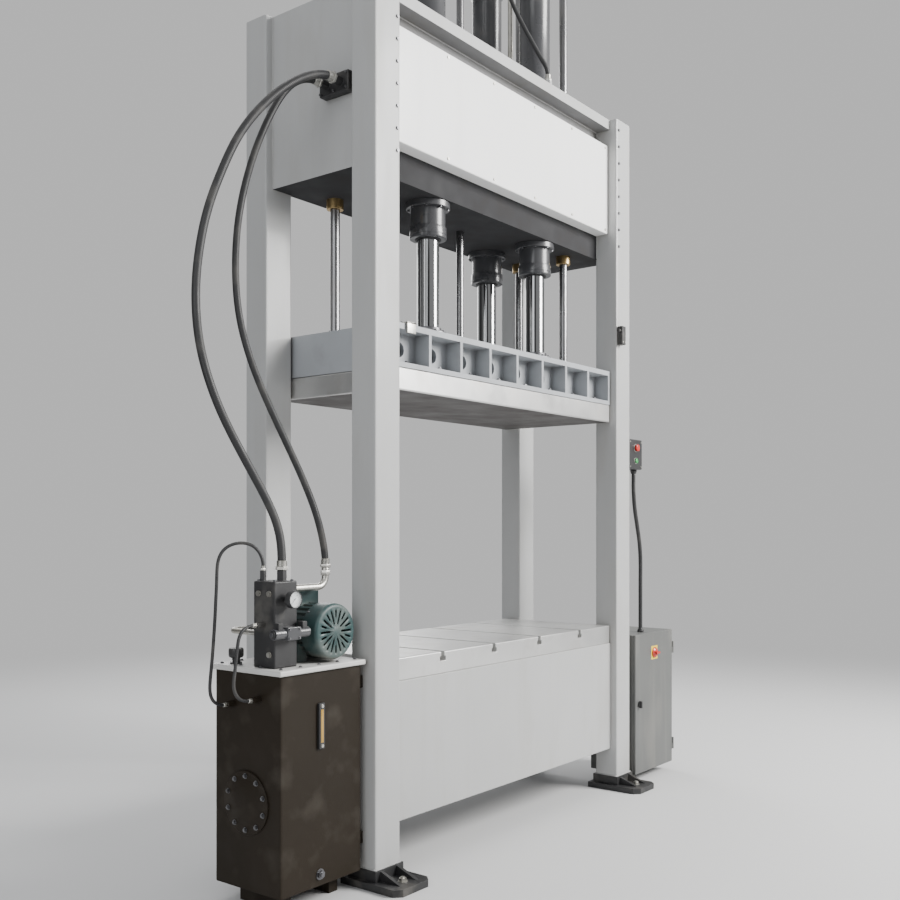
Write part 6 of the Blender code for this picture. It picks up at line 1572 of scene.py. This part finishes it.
@dataclass
class Cabinet(SubAssembly):
    """The control cabinet with its door, latch, switch, hinges, louvres and switchgear."""

    right: float = 1.606
    door_front: float = -0.4183
    hinge_x: float = 1.613
    latch: tuple[float, float] = (1.17, 0.455)
    switch: tuple[float, float] = (1.368, 0.740)
    louvres: int = 7
    back: float = -0.1402

    def build(self) -> None:
        """Dress the cabinet."""
        self.shop.refined("cabinet", "cabinet_paint", 0.0012)
        self.shop.refined("cabinet_door", "cabinet_paint", 0.0015, "cabinet_door")
        self.shop.refined("door_latch", "black_plastic", 0.0008, "door_latch")
        self.shop.refined("main_switch", "red_plastic", 0.0008, "main_switch")
        self._door_trim()
        self._louvres()
        self._switchgear()
        LOG.info("cabinet: shell, door, latch, switch and switchgear")

    def _door_trim(self) -> None:
        """Fit the switch's plate, the hinge pins, and the nuts and cam inside the door."""
        y = self.door_front
        self.shop.boxes("switch_plate", "yellow_plate",
                        [((1.328, y - 0.0002, 0.700), (1.408, y + 0.0004, 0.780), 0.0)], "cabinet_door")
        shape = bmesh.new()
        for level in (0.16, 0.75):
            for z in (level - 0.0352, level + 0.0348):
                add_turned(shape, rounded_rod(0.0042, z, z + 0.0008, 0.0002),
                           Matrix.Translation((self.hinge_x, y, 0.0)), 20)
        self.shop.settle(self.shop.from_shape("hinge_pins", shape), "zinc")
        for node, (x, z) in (("door_latch", self.latch), ("main_switch", self.switch)):
            self.shop.turned(node + "_nut", [
                (0.0062, 0.0), (0.0112, 0.0), (0.0118, 0.0008), (0.0118, 0.0044), (0.0112, 0.0052), (0.0062, 0.0052),
                (0.0062, 0.0)], (x, y + 0.0033, z), "zinc", Heading.REAR, 6, node)
        self.shop.boxes("latch_cam", "zinc", [((1.142, y + 0.0086, 0.447), (1.180, y + 0.0112, 0.463), 0.001)],
                        "door_latch")

    def _louvres(self) -> None:
        """Press louvres into the outer side."""
        shape = bmesh.new()
        for number in range(self.louvres):
            wedge = [Vector((self.right + out, 0.0, 0.62 + number * 0.024 + rise)) for out, rise in (
                (-0.0002, 0.0), (0.005, 0.0), (0.004, 0.003), (-0.0002, 0.013))]
            front, back = ([shape.verts.new(corner + Vector((0.0, y, 0.0))) for corner in wedge]
                           for y in (-0.325, -0.195))
            faces = [shape.faces.new(front), shape.faces.new(list(reversed(back)))]
            for index in range(4):
                after = (index + 1) % 4
                faces.append(shape.faces.new((front[index], back[index], back[after], front[after])))
            bmesh.ops.recalc_face_normals(shape, faces=faces)
        self.shop.settle(self.shop.from_shape("louvres", shape), "cabinet_paint")

    def _switchgear(self) -> None:
        """Fit the mounting plate, the trunking and the rail modules behind the door."""
        back = self.back
        self.shop.boxes("mounting_plate", "zinc", [((1.165, -0.140, 0.085), (1.570, -0.137, 0.825), 0.0008)])
        self.shop.boxes("trunking", "grey_plastic", [
            *(((1.185, -0.185, z), (1.550, back, z + 0.030), 0.0015) for z in (0.12, 0.36, 0.58, 0.775)),
            *(((x, -0.184, 0.1505), (x + 0.025, back, 0.7745), 0.0015) for x in (1.185, 1.525))])
        widths = (0.045, 0.045, 0.058, 0.058, 0.045)
        dark = []
        for number, wide in enumerate(widths):
            x = 1.222 + sum(widths[:number]) + number * 0.006
            dark.append(((x, -0.215, 0.44), (x + wide, back, 0.53), 0.002))
            dark.append(((x + 0.008, -0.225, 0.465), (x + wide - 0.008, -0.214, 0.505), 0.002))
        dark.append(((1.225, -0.230, 0.20), (1.330, back, 0.32), 0.003))
        self.shop.boxes("contactors", "black_plastic", dark)
        pale = []
        for step in (number * 0.0235 for number in range(12)):
            pale.append(((1.226 + step, -0.200, 0.640), (1.2485 + step, back, 0.725), 0.0015))
            pale.append(((1.232 + step, -0.208, 0.672), (1.2425 + step, -0.199, 0.694), 0.001))
        for step in (number * 0.0105 for number in range(16)):
            pale.append(((1.345 + step, -0.178, 0.225), (1.3547 + step, back, 0.285), 0.0006))
        self.shop.boxes("rail_modules", "grey_plastic", pale)


@dataclass
class SwitchBox(SubAssembly):
    """The operator's box, its buttons, its conduit and the position sensor."""

    front: float = -0.392
    button_x: float = 1.1828
    conduit_y: float = -0.3495
    conduit_foot: tuple[float, float] = (1.3223, 0.8603)
    conduit_head: tuple[float, float] = (1.2349, 1.8247)
    bend_shares: tuple[float, ...] = (0.0, 0.0, 0.0, 0.0, 0.156, 0.5, 0.844, 1.0, 1.0)
    rise_shares: tuple[float, ...] = (0.0, 0.12, 0.30, 0.45, 0.5575, 0.665, 0.7725, 0.88, 1.0)

    def build(self) -> None:
        """Dress the box and what belongs to it."""
        self.shop.refined("switch_box", "black_plastic", 0.001)
        self.shop.refined("position_sensor", "black_plastic", 0.001)
        corners = [(x, self.front, z) for x in (1.1155, 1.2500) for z in (1.8405, 1.9845)]
        self.screws.heads_at("box_screws", corners, Heading.FRONT, 0.0042, 0.002, finish="zinc")
        self._button("stop_button", "red_plastic", 1.95, 0.020, 0.012, 0.006)
        self._button("start_button", "green_plastic", 1.875, 0.0145, 0.006, 0.004)
        self._conduit()
        self.screws.heads_at("sensor_screws", [(x, -0.4343, 2.535) for x in (0.953, 0.977)], Heading.FRONT,
                             0.0035, 0.002, finish="zinc")
        LOG.info("controls: box, 2 buttons, conduit and sensor")

    def _button(self, node: str, finish: str, z: float, head: float, thick: float, travel: float) -> None:
        """Turn one button and its bezel.

        Args:
            node: The solid that it stands for.
            finish: Its finish.
            z: Its height.
            head: The head's radius.
            thick: The head's thickness.
            travel: How far it goes in.
        """
        face = travel + thick
        place = (self.button_x, self.front, z)
        self.shop.turned(node + "_knob", [
            (0.0, -0.012), (0.0104, -0.012), (0.0104, travel + 0.0003), (head - 0.001, travel + 0.0003),
            (head, travel + 0.0013), (head, face - 0.004), (head - 0.0012, face - 0.0012), (head - 0.004, face),
            (head * 0.4, face), (0.0, face)], place, finish, Heading.FRONT, body=node, replaces=[node])
        self.shop.turned(node + "_bezel", [
            (head + 0.0008, 0.0001), (head + 0.004, 0.0001), (head + 0.004, 0.0016), (head + 0.003, 0.0026),
            (head + 0.0008, 0.0026), (head + 0.0008, 0.0001)], place, "zinc", Heading.FRONT)

    def _conduit(self) -> None:
        """Run the corrugated conduit between its glands."""
        (foot_x, foot_z), (head_x, head_z) = self.conduit_foot, self.conduit_head
        rise = head_z - foot_z
        route = [(foot_x + (head_x - foot_x) * aside, self.conduit_y, foot_z + rise * share)
                 for aside, share in zip(self.bend_shares, self.rise_shares)]
        line = smooth_line([tuple(point) for point in smooth_line(route, 20)], 320)
        shape = bmesh.new()
        add_tube(shape, line, [0.0125 if index % 2 else 0.0112 for index in range(len(line))], 20)
        for x, z, heading in ((foot_x, foot_z, Heading.UP), (head_x, head_z, Heading.DOWN)):
            matrix = Matrix.Translation((x, self.conduit_y, z)) @ heading.value
            add_turned(shape, [(0.0, 0.0), (0.0185, 0.0), (0.019, 0.001), (0.019, 0.012), (0.0180, 0.013),
                               (0.0, 0.013)], matrix, 6)
            add_turned(shape, [(0.0, 0.0125), (0.0165, 0.0125), (0.0165, 0.019), (0.0145, 0.022), (0.0, 0.022)],
                       matrix, 32)
        self.shop.settle(self.shop.from_shape("corrugated_conduit", shape, 50.0), "black_plastic",
                         replaces=["conduit"])


def make_camera() -> None:
    """Set the camera at the photograph's viewpoint."""
    data = bpy.data.cameras.new("camera")
    data.lens = 41.7
    data.sensor_width = 36.0
    data.shift_y = 0.0833
    data.clip_start = 0.05
    data.clip_end = 200.0
    camera = link("camera", data)
    camera.location = (-4.30, -3.27, 1.50)
    camera.rotation_euler = (math.radians(90.0), 0.0, math.radians(-52.2))
    bpy.context.scene.camera = camera


@dataclass
class Studio:
    """A plain pale floor, soft lamps and an even background."""

    pale: tuple[float, float, float, float] = (0.60, 0.60, 0.60, 1.0)
    dark: tuple[float, float, float, float] = (0.015, 0.015, 0.016, 1.0)
    daylight: tuple[float, float, float, float] = (0.95, 0.97, 1.0, 1.0)
    daylight_strength: float = 0.50
    floor_half: float = 60.0
    fade_start: float = 3.5
    fade_end: float = 9.0
    aim: Point = (0.0, 0.0, 2.0)

    def build(self) -> None:
        """Make the floor, the world and the lamps."""
        material = plain_material("floor", Base_Color=self.pale, Roughness=0.9)
        self._fade(material.node_tree)
        self._sheet("floor", material, self.floor_half, Matrix.Identity(4))
        self._world()
        self._card("dark_card_left", (-4.2, 4.6, 2.6), 52.0, 3.2)
        self._card("dark_card_near", (-7.4, -5.2, 2.6), -52.0, 2.6)
        self._lamp("key", (3.4, -6.4, 5.2), 1390.0, 3.5, (1.0, 0.99, 0.97))
        self._lamp("fill", (-7.5, -2.0, 4.0), 165.0, 4.5, (0.96, 0.98, 1.0))
        self._lamp("top", (0.5, 1.5, 9.0), 280.0, 5.0, EVEN)
        self._lamp("back", (4.0, 6.0, 5.0), 230.0, 4.0, EVEN)

    def _sheet(self, name: str, material: bpy.types.Material, half: float, place: Matrix) -> bpy.types.Object:
        """Lay a square sheet that belongs to the studio.

        Args:
            name: The sheet's name.
            material: Its material.
            half: Half its side.
            place: Where it lies.

        Returns:
            The sheet.
        """
        shape = bmesh.new()
        bmesh.ops.create_grid(shape, x_segments=1, y_segments=1, size=half, matrix=place)
        mesh = bpy.data.meshes.new(name)
        shape.to_mesh(mesh)
        shape.free()
        mesh.materials.append(material)
        sheet = link(name, mesh)
        return sheet

    def _fade(self, tree: bpy.types.NodeTree) -> None:
        """Let the far floor run into the background.

        Args:
            tree: The floor's material tree.
        """
        place = tree.nodes.new("ShaderNodeTexCoord").outputs["Object"]
        reach = add_node(tree, "ShaderNodeVectorMath", {0: place}, operation="LENGTH").outputs["Value"]
        share = add_node(tree, "ShaderNodeMapRange", {0: reach, 1: self.fade_start, 2: self.fade_end},
                         interpolation_type="SMOOTHSTEP").outputs[0]
        seen = tree.nodes.new("ShaderNodeLightPath").outputs["Is Camera Ray"]
        both = add_node(tree, "ShaderNodeMath", {0: share, 1: seen}, operation="MULTIPLY").outputs[0]
        glow = add_node(tree, "ShaderNodeEmission", {"Color": self.pale}).outputs[0]
        surface = tree.nodes["Principled BSDF"].outputs[0]
        mix = add_node(tree, "ShaderNodeMixShader", {0: both, 1: surface, 2: glow})
        tree.links.new(mix.outputs[0], tree.nodes["Material Output"].inputs[0])

    def _card(self, name: str, place: Point, turn: float, half: float) -> None:
        """Stand a dark card that only reflections show.

        Args:
            name: The card's name.
            place: Its middle.
            turn: Its turn about the vertical in degrees.
            half: Half its side.
        """
        upright = Matrix.Rotation(math.radians(turn), 4, "Z") @ Matrix.Rotation(math.pi / 2, 4, "X")
        material = plain_material(name, Base_Color=self.dark)
        card = self._sheet(name, material, half, Matrix.Translation(place) @ upright)
        card.visible_camera = False
        card.visible_diffuse = False
        card.visible_shadow = False

    def _world(self) -> None:
        """Light all round softly, and show an even pale background."""
        world = bpy.data.worlds.new("world")
        world.use_nodes = True
        bpy.context.scene.world = world
        tree = world.node_tree
        tree.nodes.clear()
        path = tree.nodes.new("ShaderNodeLightPath")
        light = add_node(tree, "ShaderNodeBackground", {"Color": self.daylight, "Strength": self.daylight_strength})
        seen = add_node(tree, "ShaderNodeBackground", {"Color": self.pale, "Strength": 1.0})
        shown = path.outputs["Is Camera Ray"]
        for ray in ("Is Glossy Ray", "Is Transmission Ray"):
            shown = add_node(tree, "ShaderNodeMath", {0: shown, 1: path.outputs[ray]}, operation="MAXIMUM").outputs[0]
        mix = add_node(tree, "ShaderNodeMixShader", {0: shown, 1: light.outputs[0], 2: seen.outputs[0]})
        add_node(tree, "ShaderNodeOutputWorld", {0: mix.outputs[0]})

    def _lamp(self, name: str, place: Point, power: float, size: float, colour: Colour) -> None:
        """Hang a square soft lamp that faces the press.

        Args:
            name: The lamp's name.
            place: Where it hangs.
            power: Its power in watts.
            size: Its side in metres.
            colour: Its colour.
        """
        data = bpy.data.lights.new(name, "AREA")
        data.energy = power
        data.size = size
        data.color = colour
        lamp = link(name, data)
        lamp.location = place
        lamp.rotation_euler = (Vector(self.aim) - Vector(place)).to_track_quat("-Z", "Y").to_euler()


def main() -> None:
    """Dress the press, sub-assembly by sub-assembly."""
    logging.basicConfig(level=logging.INFO, format="%(message)s")
    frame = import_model()
    make_camera()
    palette = Palette()
    nodes = {item["node"]: item["material_slot"] for item in frame["record"]["subparts"]}
    for name, slot in nodes.items():
        for holder in frame["nodes"][name].material_slots:
            holder.material = palette[slot]
    shop = Workshop(palette, frame["nodes"], {item["slot"] for item in frame["record"]["materials"]})
    screws = Fasteners(shop)
    Hoses(shop).build()
    for kind in (Cylinders, Platen, GuideBushes, Frame, Pipes, PowerUnit, Cabinet, SwitchBox):
        kind(shop, screws).build()
    Studio().build()
    LOG.info("%d pieces", len(shop.made))


if __name__ == "__main__":
    main()
